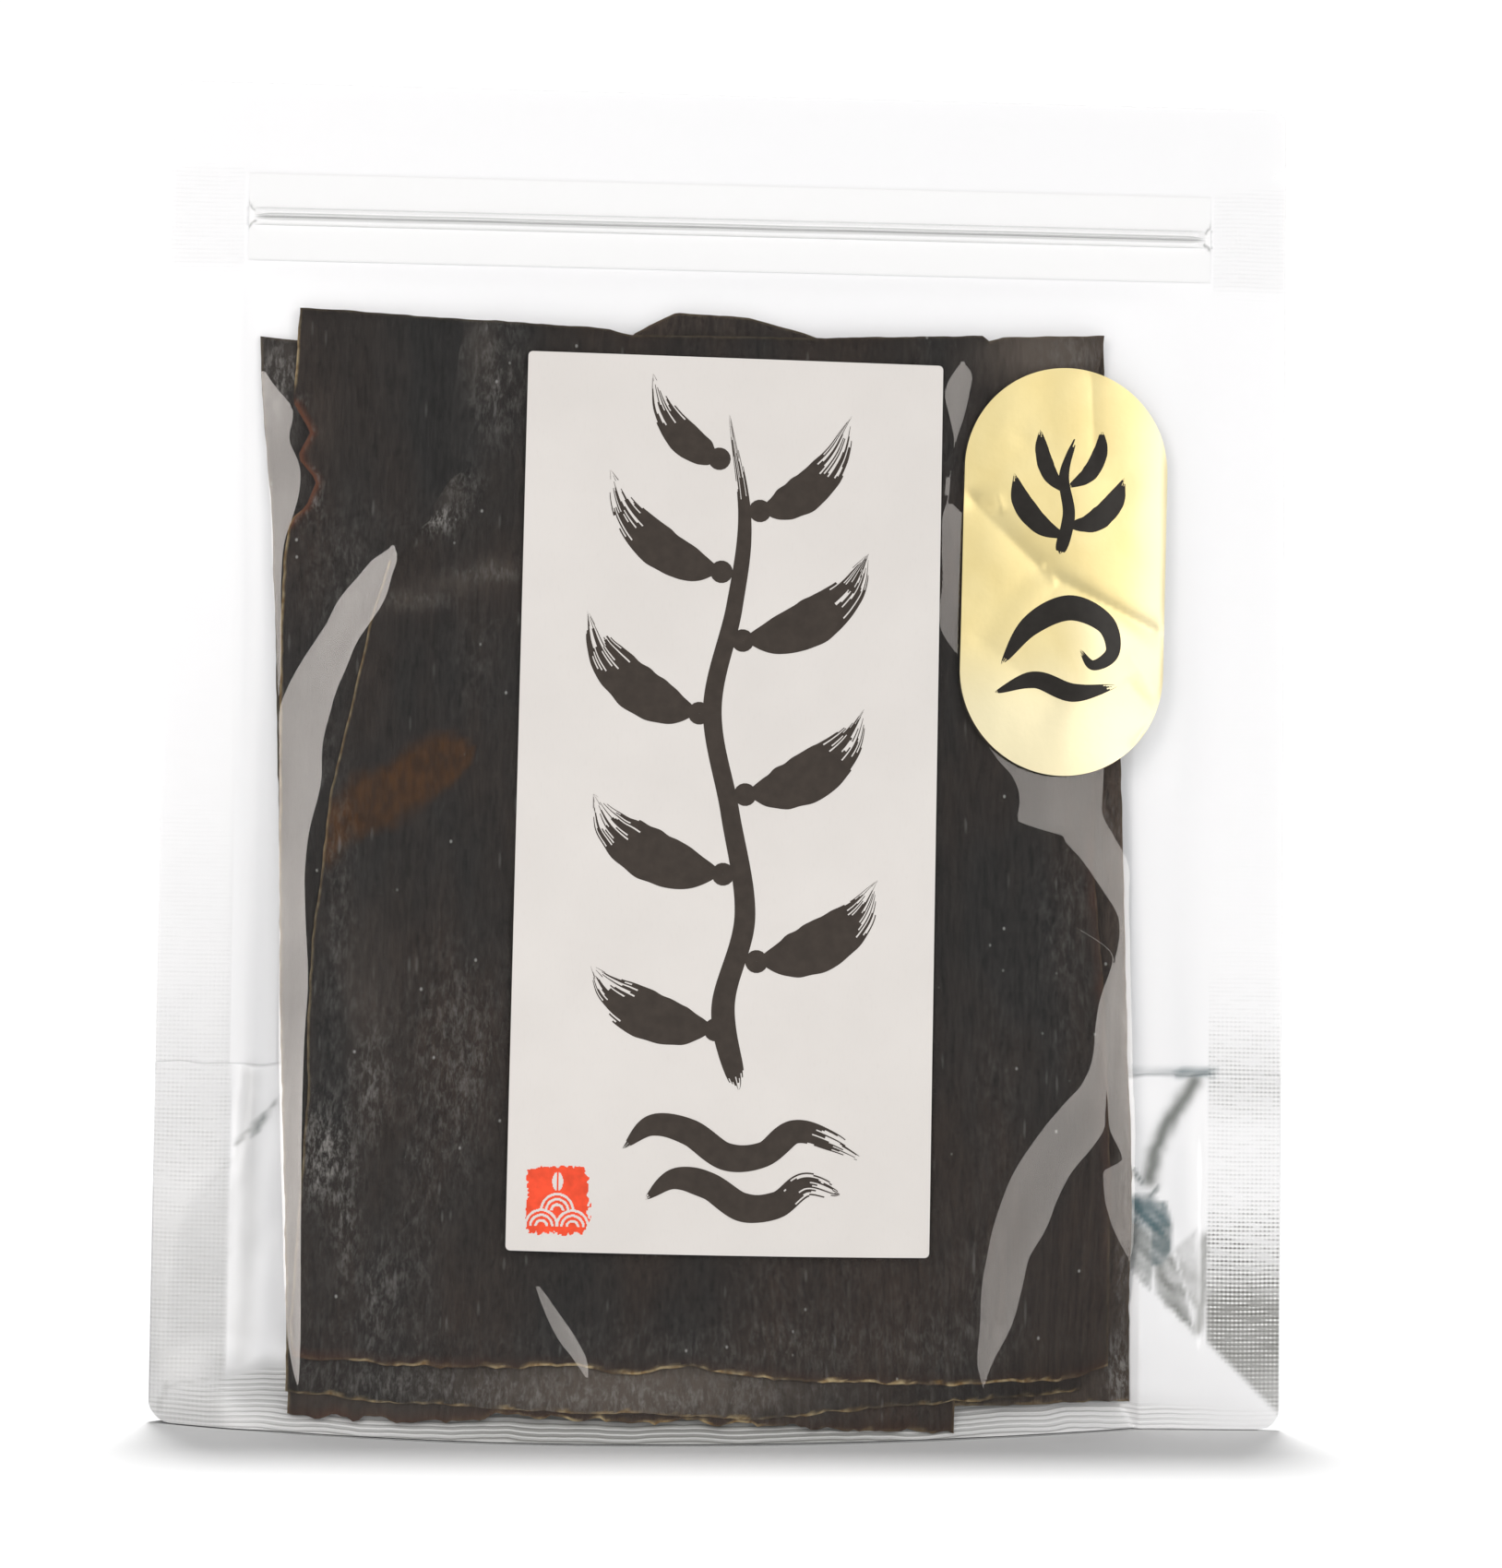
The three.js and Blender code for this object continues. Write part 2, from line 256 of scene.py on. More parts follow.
class Nodes:  # a material's node tree, with short calls for the nodes used here
    def __init__(self, name):
        self.material = bpy.data.materials.new(name)
        self.material.use_nodes = True
        self.tree = self.material.node_tree
        self.tree.nodes.clear()
        self.place = None

    def add(self, kind, inputs=None, **settings):
        made = self.tree.nodes.new("ShaderNode" + kind)
        for key, value in settings.items():
            setattr(made, key, value)
        for key, value in (inputs or {}).items():
            if isinstance(value, bpy.types.NodeSocket):
                self.tree.links.new(value, made.inputs[key])
            else:
                made.inputs[key].default_value = value
        return made

    def math(self, operation, *values, clamp=False):
        made = self.add("Math", dict(enumerate(values)), operation=operation, use_clamp=clamp)
        return made.outputs[0]

    def spot(self, scale):  # object coordinates, scaled so that one unit is one cell of a texture
        if self.place is None:
            self.place = self.add("TexCoord").outputs["Object"]
        return self.add("Mapping", {"Vector": self.place, "Scale": scale}).outputs[0]

    def noise(self, scale, detail=2.0, rough=0.5):
        inputs = {"Vector": self.spot(scale), "Scale": 1.0, "Detail": detail, "Roughness": rough}
        return self.add("TexNoise", inputs).outputs[0]

    def spread(self, value, low, high, start=0.0, end=1.0):
        return self.add("MapRange", {"Value": value, 1: low, 2: high, 3: start, 4: end}).outputs[0]

    def blend(self, share, first, second, kind="MIX"):
        made = self.add("Mix", {0: share}, data_type="RGBA", blend_type=kind)
        for socket, value in ((made.inputs[6], first), (made.inputs[7], second)):
            if isinstance(value, bpy.types.NodeSocket):
                self.tree.links.new(value, socket)
            else:
                socket.default_value = (*value, 1)
        return made.outputs[2]

    def value(self, attribute):
        return self.add("Attribute", attribute_name=attribute).outputs["Fac"]

    def output(self, shader):
        self.add("OutputMaterial", {"Surface": shader})
        return self.material


# The clear film: light goes straight through, and a mirror sheen grows at low angles. The mesh
# says how far the taut film leans sideways (turn) and upwards (tip) at each point, and how
# glossy it is.
def clearFilm():
    n = Nodes("clearFilm")
    lean = n.add("CombineXYZ", {0: n.value("turn"), 1: -1.0, 2: n.value("tip")}).outputs[0]
    lean = n.add("VectorMath", {0: lean}, operation="NORMALIZE").outputs[0]
    facing = n.add("LayerWeight", {"Blend": 0.5}).outputs["Facing"]
    mirror = n.math("MULTIPLY_ADD", n.math("POWER", facing, 5.0), 0.9, 0.043)
    mirror = n.math("MULTIPLY", mirror, n.value("sheen"), clamp=True)
    through = n.add("BsdfTransparent", {"Color": (0.99, 0.99, 0.99, 1)}).outputs[0]
    gloss = n.add("BsdfGlossy", {"Color": (1, 1, 1, 1), "Roughness": 0.03, "Normal": lean}).outputs[0]
    haze = n.add("BsdfDiffuse", {"Color": (0.85, 0.86, 0.87, 1)}).outputs[0]
    veiled = n.add("MixShader", {0: 0.002, 1: through, 2: haze}).outputs[0]
    return n.output(n.add("MixShader", {0: mirror, 1: veiled, 2: gloss}).outputs[0])


silverFinish = {
    "bright": (0.95, 0.95, 0.958),
    # the next two colours are painted shade and a painted teal reflection, mixed in where the mesh marks them
    "shaded": (0.20, 0.20, 0.18),
    "tealReflection": (0.055, 0.12, 0.14),
    "rear": (0.66, 0.67, 0.67),
    "weavePitch": 0.00077,
    "ribPitch": 0.00085,
}


# Metallised film. The mesh says where it is woven by the sealing bar, ribbed by the foot weld,
# given painted shade in a fold and on the seals, and given a painted teal reflection where the fold mirrors
# itself.
def silverFilm():
    n = Nodes("silverFilm")
    finish = silverFinish
    at = n.add("SeparateXYZ", {"Vector": n.spot((1, 1, 1))})
    wander = n.noise((45, 45, 20), 2.0)
    height = n.math("MULTIPLY_ADD", wander, 0.0010, at.outputs[2])
    rows = n.math("SINE", n.math("MULTIPLY", height, 2 * math.pi / finish["weavePitch"]))
    columns = n.math("SINE", n.math("MULTIPLY", at.outputs[0], 2 * math.pi / finish["weavePitch"]))
    patchy = n.spread(n.noise((300, 300, 1300), 3.0), 0.36, 0.6, 0.15, 1.15)
    weave = n.math("MULTIPLY", n.math("MULTIPLY_ADD", columns, 0.45, rows), patchy)
    weave = n.math("MULTIPLY", weave, n.value("weave"))
    bent = n.math("MULTIPLY_ADD", n.noise((38, 38, 8), 3.0), 0.003, at.outputs[2])
    ribs = n.math("SINE", n.math("MULTIPLY", bent, 2 * math.pi / finish["ribPitch"]))
    finer = n.math("SINE", n.math("MULTIPLY", bent, 2 * math.pi / (0.43 * finish["ribPitch"])))
    ribs = n.math("MULTIPLY", n.math("MULTIPLY_ADD", finer, 0.45, ribs), n.value("ribs"))
    pattern = n.math("ADD", weave, ribs)
    uneven = n.noise((260, 260, 260), 3.0)
    height = n.math("MULTIPLY_ADD", uneven, 0.5, pattern)
    rear = n.value("rear")
    seen = n.math("SUBTRACT", 1.0, rear)
    rumple = n.math("MULTIPLY", n.noise((26, 26, 11), 2.5), n.math("MULTIPLY", rear, 22.0))
    height = n.math("ADD", height, rumple)
    bump = n.add("Bump", {"Height": height, "Strength": 0.5, "Distance": 0.00009}).outputs[0]
    # painted shade and painted teal reflection, on the front skin only
    colour = n.blend(n.math("MULTIPLY", n.value("shade"), seen), finish["bright"], finish["shaded"])
    colour = n.blend(n.math("MULTIPLY", n.value("tealReflection"), seen), colour, finish["tealReflection"])
    # painted shade and painted highlight across the embossed weave and ribs, by their pattern
    darker = n.math("MULTIPLY", n.math("MAXIMUM", pattern, 0.0), 0.6, clamp=True)
    colour = n.blend(darker, colour, (0.13, 0.13, 0.115))
    lighter = n.math("MULTIPLY", n.math("MAXIMUM", n.math("MULTIPLY", pattern, -1.0), 0.0), 0.75, clamp=True)
    colour = n.blend(lighter, colour, (0.97, 0.97, 0.96))
    colour = n.blend(n.math("MULTIPLY", rear, 0.85), colour, finish["rear"])
    metal = n.math("MULTIPLY_ADD", rear, 0.7, 0.22)
    inputs = {"Base Color": colour, "Metallic": metal, "Roughness": 0.5, "Normal": bump}
    return n.output(n.add("BsdfPrincipled", inputs).outputs[0])


# Dry kelp: near black with brown clouds, streaked along its length, with salt bloom, white
# specks and a crust on the cut edges.
def kelpSkin(name, tone, brown, salt):
    n = Nodes(name)
    streak = n.noise((1100, 1100, 45), 4.0, 0.65)
    broad = n.noise((48, 48, 16), 3.0, 0.55)
    grain = n.noise((2600, 2600, 1500), 2.0)
    skin = n.blend(n.spread(broad, 0.36, 0.66), tone, brown)
    level = n.math("ADD", n.spread(streak, 0.3, 0.7), 0.3)
    level = n.math("MULTIPLY_ADD", n.spread(grain, 0.3, 0.7), 0.55, level)
    scale = n.add("CombineColor", {0: level, 1: level, 2: level}).outputs[0]
    skin = n.blend(1.0, skin, scale, "MULTIPLY")
    mottle = n.spread(n.noise((520, 520, 210), 4.0, 0.6), 0.36, 0.62)
    amber = n.blend(mottle, (0.042, 0.0165, 0.003), (0.090, 0.0345, 0.005))
    skin = n.blend(n.value("amber"), skin, amber)
    # paler skin, and along one fold a painted highlight
    paleSkinAndHighlight = n.math("MULTIPLY", n.value("pale"), n.spread(streak, 0.25, 0.75, 0.55, 1.1), clamp=True)
    skin = n.blend(paleSkinAndHighlight, skin, (0.118, 0.097, 0.081))
    powder = n.spread(n.noise((900, 900, 330), 7.0, 0.8), 0.47, 0.7)
    clouds = n.spread(n.noise((34, 34, 15), 2.0), 0.5, 0.75)
    bloom = n.math("MULTIPLY_ADD", clouds, salt, n.value("bloom"))
    bloom = n.math("MULTIPLY", n.math("MULTIPLY", powder, bloom), 0.8, clamp=True)
    skin = n.blend(bloom, skin, (0.245, 0.235, 0.222))
    cells = n.add("TexVoronoi", {"Vector": n.spot((430, 430, 330)), "Scale": 1.0, "Randomness": 1.0})
    rare = n.math("GREATER_THAN", n.add("SeparateColor", {0: cells.outputs["Color"]}).outputs[0], 0.9)
    speck = n.math("MULTIPLY", rare, n.spread(cells.outputs["Distance"], 0.14, 0.05))
    skin = n.blend(n.math("MULTIPLY", speck, 0.55), skin, (0.5, 0.5, 0.48))
    hairs = n.add("TexVoronoi", {"Vector": n.spot((700, 700, 75)), "Scale": 1.0, "Randomness": 1.0})
    rare = n.math("GREATER_THAN", n.add("SeparateColor", {0: hairs.outputs["Color"]}).outputs[1], 0.86)
    hair = n.math("MULTIPLY", rare, n.spread(hairs.outputs["Distance"], 0.26, 0.1))
    strength = n.math("MULTIPLY_ADD", n.value("bloom"), 0.12, 0.12)
    skin = n.blend(n.math("MULTIPLY", hair, strength, clamp=True), skin, (0.4, 0.39, 0.38))
    skin = n.blend(n.value("rust"), skin, (0.13, 0.045, 0.022))
    crumbs = n.spread(n.noise((700, 700, 700), 3.0), 0.35, 0.65)
    crust = n.blend(crumbs, (0.28, 0.17, 0.06), (0.62, 0.50, 0.28))
    skin = n.blend(n.value("edge"), skin, crust)
    relief = n.math("MULTIPLY_ADD", streak, 0.5, n.noise((210, 210, 90), 4.0))
    bump = n.add("Bump", {"Height": relief, "Strength": 0.6, "Distance": 0.0007}).outputs[0]
    inputs = {"Base Color": skin, "Roughness": 0.5, "Specular IOR Level": 0.3, "Normal": bump}
    return n.output(n.add("BsdfPrincipled", inputs).outputs[0])


def labelPaper():
    n = Nodes("labelPaper")
    fibre = n.noise((2600, 2600, 500), 3.0)
    cloud = n.noise((60, 60, 60), 3.0)
    paper = n.blend(n.spread(cloud, 0.35, 0.7), (0.76, 0.735, 0.71), (0.79, 0.765, 0.74))
    paper = n.blend(n.spread(fibre, 0.55, 0.8, 0, 0.1), paper, (0.6, 0.57, 0.54))
    bump = n.add("Bump", {"Height": fibre, "Strength": 0.12, "Distance": 0.00005}).outputs[0]
    inputs = {"Base Color": paper, "Roughness": 0.5, "Specular IOR Level": 0.3, "Normal": bump}
    return n.output(n.add("BsdfPrincipled", inputs).outputs[0])


def ink(name, colour, roughness):
    n = Nodes(name)
    wash = n.noise((500, 500, 500), 3.0)
    tint = n.blend(n.spread(wash, 0.3, 0.75), colour, tuple(1.35 * c for c in colour))
    inputs = {"Base Color": tint, "Roughness": roughness, "Specular IOR Level": 0.25}
    return n.output(n.add("BsdfPrincipled", inputs).outputs[0])


def goldFoil():
    n = Nodes("goldFoil")
    grain = n.noise((1500, 1500, 1500), 3.0)
    soft = n.noise((120, 120, 120), 3.0)
    colour = n.blend(n.spread(soft, 0.3, 0.7), (0.79, 0.665, 0.32), (0.83, 0.715, 0.37))
    # the gleam is a painted highlight, paler and whiter, on the lower part, the right edge and below the
    # valley crease
    colour = n.blend(n.value("paintedGleam"), colour, (0.93, 0.87, 0.62))
    relief = n.math("MULTIPLY_ADD", grain, 0.12, soft)
    bump = n.add("Bump", {"Height": relief, "Strength": 0.2, "Distance": 0.0004}).outputs[0]
    inputs = {"Base Color": colour, "Metallic": 0.85, "Roughness": 0.38, "Normal": bump}
    return n.output(n.add("BsdfPrincipled", inputs).outputs[0])


def zipPlastic():
    n = Nodes("zipPlastic")
    # line carries painted shade: between the zip's ribs, in the creases at its ends and along the tape edges
    colour = n.blend(n.value("line"), (0.95, 0.95, 0.95), (0.22, 0.225, 0.22))
    inputs = {"Base Color": colour, "Roughness": 0.25, "Specular IOR Level": 0.5}
    return n.output(n.add("BsdfPrincipled", inputs).outputs[0])


film = clearFilm()
silver = silverFilm()
print("materials made")

# Glare bands on the clear front, where the film leans towards a side lamp. Each row is
# (z, inner x, outer x), and sheen says how strong the glare is up the band.
glare = {
    "leftEdge": {
        "turn": -0.175,
        "sheen": [
            (8, 0.9), (18, 1.0), (28, 1.1), (38, 1.2), (56, 1.2), (64, 1.1), (74, 0.9), (90, 1.1), (105, 0.9),
            (121, 0.85), (154, 1.0),
        ],
        "rows": [
            (8.6, -73.9, -74), (11, -73.8, -74.7), (15.4, -73.7, -75.6), (25, -73.8, -76.4),
            (40, -74.0, -77.1), (56, -74.1, -77.8), (69, -73.9, -78.2), (77, -73.5, -78.3),
            (90, -74.2, -78.5), (97, -74.4, -78.7), (103, -73.9, -78.9), (113, -71.8, -79.1),
            (119, -71.7, -79.2), (125, -70.4, -79.2), (128, -69.6, -78.2), (133, -67.6, -75.7),
            (137, -66.0, -73.2), (140, -64.1, -71.3), (144.5, -61.3, -69.1), (149, -60.0, -65.4),
            (152, -59.2, -62.8), (153.4, -59.4, -60.6), (154.2, -60, -60),
        ],
    },
    "stripLeft": {
        "turn": -0.175,
        "sheen": [(128, 0.8), (158, 0.95), (168, 0.8), (185, 0.95)],
        "rows": [
            (128, -79.4, -79.5), (133, -79.3, -79.8), (140, -79.4, -80.2), (148, -79.5, -80.8),
            (154.6, -79, -81.1), (159.5, -77.5, -81.35), (163.6, -76.6, -81.7), (168, -76.7, -82.15),
            (172, -78.5, -82.5), (178.5, -78.4, -83.1), (181.5, -81, -83.35), (184.7, -83.3, -83.6),
        ],
    },
    "nearLabel": {
        "turn": 0.175,
        "sheen": [(136, 0.6), (160, 0.8), (189, 0.9)],
        "rows": [
            (136, 41.0, 41.0), (140, 37.9, 40.8), (150, 37.6, 42.4), (158, 37.5, 42.6),
            (161.5, 37.6, 41.4), (164, 38.4, 38.7), (170, 39, 39), (175, 39.6, 39.9), (179, 38.8, 41.2),
            (184, 38.0, 42.3), (187, 39.5, 42.6), (189, 41, 41),
        ],
    },
    "lowRight": {
        "turn": 0.175,
        "sheen": [(9, 0.75), (40, 0.8), (56, 0.9), (66, 1.1), (80, 1.2)],
        "rows": [
            (9, 45.6, 45.6), (12, 44.7, 46.6), (20, 44.9, 50.6), (26.5, 45.1, 52.3), (31.5, 45.9, 53.4),
            (36.5, 46.9, 56.3), (41.8, 48.6, 58.3), (46, 50.3, 60.4), (51, 53.5, 64.4), (54, 55.7, 66.4),
            (57, 58.2, 66.6), (59.4, 60.4, 66.8), (61, 62.0, 66.9), (62.5, 63.0, 67), (64.5, 64.0, 67),
            (67.3, 64.7, 67), (72.2, 65.1, 67), (77.4, 66.1, 67.3), (82.1, 67.8, 68.2), (84, 68.2, 68.2),
            (90, 60, 60), (98, 42, 42),
        ],
    },
    "rightEdge": {
        "turn": 0.175,
        "sheen": [(31, 0.75), (48, 0.85), (58, 1.1), (74, 1.3), (90, 1.1), (105, 0.85), (128, 0.7)],
        "rows": [
            (31, 71.8, 71.9), (34, 70, 72.3), (37, 68.5, 72.3), (42, 67, 72.2), (45, 66.7, 72.1),
            (46.8, 66.8, 72), (48.6, 69.9, 72), (50, 69.6, 72), (53.6, 67.8, 72), (59, 67.2, 71.8),
            (61, 66.9, 71.6), (62.5, 67, 71.6), (64.5, 67, 71.5), (67.3, 67, 71.5), (72.2, 67, 71.4),
            (77.4, 67.3, 71.3), (82.1, 68.2, 71.2), (88.4, 69.4, 71.1), (91.1, 69.2, 71),
            (95.3, 66.7, 71), (99.9, 63.5, 71), (101.6, 62.2, 70.4), (104, 59.8, 69), (105.5, 58.6, 68.1),
            (106.3, 55.2, 67.6), (107.4, 51.6, 66.9), (109.5, 51.4, 66.1), (112, 51.5, 66.2),
            (115.9, 49.9, 66.4), (119, 47.1, 66.5), (124, 47, 66.5), (128, 60, 66),
        ],
    },
    "smallLow": {
        "turn": 0.28,
        "sheen": [(11, 1.0), (28, 0.85)],
        "rows": [
            (11.4, -24.3, -24.1), (14, -26.1, -24.2), (18.1, -29.3, -26.2), (22.5, -31.6, -29.4),
            (25.5, -32.8, -31.6), (27.3, -33.3, -33.1),
        ],
    },
}


def bandEdges(band, z):
    stations, inner, outer = (np.array(column, float) for column in zip(*band["rows"]))
    z = np.clip(z, stations[0], stations[-1])
    return throughPoints(stations, inner, z), throughPoints(stations, outer, z)


tautFilm = {
    "bow": 0.0006,  # sideways lean for each mm from the middle
    "tip": 0.17,
    "wander": 0.012,
    "ripple": 0.006,
    "leastBand": 0.05,
}


def filmFields(x, z):  # the taut film's sideways and upward lean, and how glossy it is
    plain = tautFilm["bow"] * (np.clip(x, -78, 72) + 3.5)
    plain = plain + tautFilm["wander"] * lattice(x, z, (6, 22), 3)
    plain = plain + tautFilm["ripple"] * lattice(x, z, (2.5, 5), 4)
    tip = tautFilm["tip"] + 0.01 * lattice(x, z, (9, 9), 5)
    turned = np.zeros(x.shape)
    sheen = np.ones(x.shape)
    for band in glare.values():
        inner, outer = bandEdges(band, z)
        left, right = np.minimum(inner, outer), np.maximum(inner, outer)
        within = (x >= left - 0.01) & (x <= right + 0.01) & (right - left > tautFilm["leastBand"])
        within &= (z >= band["rows"][0][0]) & (z <= band["rows"][-1][0])
        share = (x - left) / np.maximum(right - left, tautFilm["leastBand"])
        streaks = 1 + 0.13 * lattice(3.5 * share, z, (1, 26), 6) + 0.05 * lattice(x, z, (1.5, 5), 7)
        turned = np.where(within, band["turn"], turned)
        sheen = np.where(within, along(band["sheen"], z) * streaks, sheen)
    return {"turn": plain + turned, "tip": tip, "sheen": sheen}


filmBag = {
    "filmThickness": 0.12,
    "backThickness": 0.16,
    "ripple": 0.05,
    "zipRib": 0.9,
    "columnPitch": 2.4,
    "bandStep": 0.16,  # width over which the film bends into a glare band
    "leastGap": 0.2,
}


def rowHeights():
    spans = [
        (0, 10, 24), (10, 32, 24), (32, 62, 36), (62, 110, 40), (110, 130, 20), (130, 157, 24),
        (157, 186, 24), (186, 196, 8), (196, 204, 10), (204, 209.5, 6), (209.5, 215, 20), (215, 221, 6),
        (221, 222.4, 2), (222.4, 225.6, 10), (225.6, bagHeight, 7),
    ]
    rows = [0.0]
    for start, end, steps in spans:
        rows += list(np.linspace(start, end, steps + 1)[1:])
    return np.array(rows)


def cornerInset(radius, fromEdge):
    missing = np.maximum(0, radius - fromEdge)
    return radius - np.sqrt(np.maximum(0, radius**2 - missing**2))


def sideEdge(z):  # half width of the bag: rounded corners and the tear notches
    notch = bag["notchDepth"] * np.maximum(0, 1 - np.abs(z - bag["notchZ"]) / bag["notchHalf"])
    edge = halfWidth - cornerInset(bag["headCorner"], bagHeight - z) - cornerInset(bag["footCorner"], z)
    return edge - notch


def bagColumns(z, keyCurves):  # x of every column on each row: fine beside the key curves
    edge = sideEdge(z)
    lines = [-edge, np.full(z.shape, -sealInner)] + keyCurves + [np.full(z.shape, sealInner), edge]
    for k in range(1, len(lines)):
        lines[k] = np.maximum(lines[k], lines[k - 1] + filmBag["leastGap"])
    columns = [lines[0]]
    for start, end in zip(lines, lines[1:]):
        width = end - start
        steps = int(np.clip(np.ceil(width.max() / filmBag["columnPitch"]), 5, 60))
        fine = np.minimum(filmBag["bandStep"], width / 4)
        columns += [start + fine + (width - 2 * fine) * s / steps for s in range(steps + 1)] + [end]
    return np.stack(columns, -1)


def zipRelief(z):  # how far the zip's double rib stands out
    ribs = 0
    for centre in (-0.75, 0.75):
        ribs = np.maximum(ribs, np.sqrt(np.maximum(0, 1 - ((z - bag["zipZ"] - centre) / 0.8) ** 2)))
    return ribs


def frontFilmPiece():
    rows = rowHeights()
    z = rows[:, None]
    left = bandEdges(glare["leftEdge"], rows)
    strip = bandEdges(glare["stripLeft"], rows)
    low = bandEdges(glare["lowRight"], rows)
    nearLabel = bandEdges(glare["nearLabel"], rows)
    right = bandEdges(glare["rightEdge"], rows)
    small = bandEdges(glare["smallLow"], rows)
    # the band by the label and the low one share two columns, as they lie above one another
    inner = np.where(rows > 100, nearLabel[0], low[0])
    outer = np.where(rows > 100, nearLabel[1], low[1])
    x = bagColumns(rows, [strip[1], strip[0], left[1], left[0], *small, inner, outer, *right])
    ripple = filmBag["ripple"] * lattice(x, z, (9, 30), 3) + 0.02 * lattice(x, z, (4, 7), 4)
    ripple = ripple * overKelp(x, z) * smooth(z, 2, 20) * (1 - smooth(z, 190, 204))
    inZip = 1 - smooth(np.abs(x), sealInner - 2.5, sealInner - 0.5)
    ribs = filmBag["zipRib"] * zipRelief(z) * inZip
    front = grid(x, frontFace(x, z) + ripple - ribs, z)
    back = offset(front, filmBag["filmThickness"])
    return finished(shell("front_film", front, back, film, attributes=filmFields(x, z)), "clear_film")


# Painted shade and painted teal reflection on the silver: strokes and patches in mm, given as (points, width,
# shade, teal reflection).
silverMarks = {
    "strokes": [
        ([(70.7, 62.8), (79, 62.9), (88, 62.9)], 0.6, 0.1, 0.3),
        ([(81.2, 62.9), (84, 62.9), (87.4, 62.9)], 0.8, 0.2, 0.8),
        ([(84.4, 61.5), (79.5, 54.3), (77.2, 49.3), (76.3, 44.1)], 1.4, 0.95, 0.2),
        ([(73.2, 45.6), (75.4, 43.2)], 0.5, 0.7, 0.4), ([(77.8, 42.5), (76.4, 41.0)], 0.5, 0.7, 0.5),
        ([(-83.4, 60), (-83.3, 50), (-83.2, 30), (-84.2, 11)], 2.0, 0.24, 0.0),
        ([(-85.7, 48.6), (-78.4, 56.2)], 0.4, 0.5, 0.1), ([(-82.6, 50.5), (-80.6, 53.6)], 0.6, 0.7, 0.3),
        ([(-98.9, 28), (-86.9, 45.4)], 0.6, 0.35, 0.0), ([(-98.6, 1.8), (-96.8, 6.6)], 0.8, 0.5, 0.0),
        ([(-96.8, 6.6), (-90, 8.0)], 0.5, 0.5, 0.0),
        ([(-89.3, 11), (-87.3, 13), (-87, 40)], 0.7, 0.3, 0.0),
        ([(85.4, 17.5), (86.2, 26), (86.4, 34)], 0.9, 0.7, 0.05),
    ],
    "patches": [
        ([(72, 41), (75.8, 41.4), (79, 39.8), (80.6, 36.5), (79, 34), (72, 37)], 0.5, 0.95),
        ([(76.4, 37), (80.6, 36.5), (80.4, 31.5), (78.6, 28.6), (76.8, 29)], 0.9, 0.65),
        ([(71.6, 37), (76.6, 36), (77.2, 29.5), (76.8, 24.6), (71.6, 30.2)], 0.85, 0.25),
        ([(77.3, 28.8), (80.4, 31.4), (82.6, 26), (84.6, 17), (78, 23.6)], 0.9, 0.1),
        ([(80.4, 31.4), (84.6, 35), (86, 27), (84.8, 17.2), (82.6, 26)], 0.6, 0.02),
    ],
    # painted shade, and the weave's strength, up the side seals, by height
    "rightSeal": [
        (0, 0.5), (8, 0.7), (14, 0.95), (22, 0.85), (29, 0.35), (36, 0.08), (41, 0.02), (53, 0.02),
        (57, 0.12), (61, 0.22), (65, 0.12), (72, 0.03), (85, 0),
    ],
    "leftSeal": [(0, 0.4), (14, 0.42), (30, 0.4), (45, 0.3), (62, 0.22), (80, 0.1), (110, 0.04), (150, 0)],
    "rightWeave": [
        (0, 0.3), (8, 0.45), (16, 0.75), (24, 1.1), (32, 1.1), (37, 0.8), (41, 0.35), (53, 0.22),
        (57, 0.45), (62, 0.55), (67, 0.35), (74, 0.14), (82, 0.04), (200, 0.02), (203, 0.09), (221, 0.09),
        (222, 0),
    ],
    "leftWeave": [
        (0, 0.16), (20, 0.2), (36, 0.16), (44, 0.24), (52, 0.24), (66, 0.14), (90, 0.06), (120, 0.02),
        (200, 0.02), (203, 0.07), (221, 0.07), (222, 0),
    ],
}


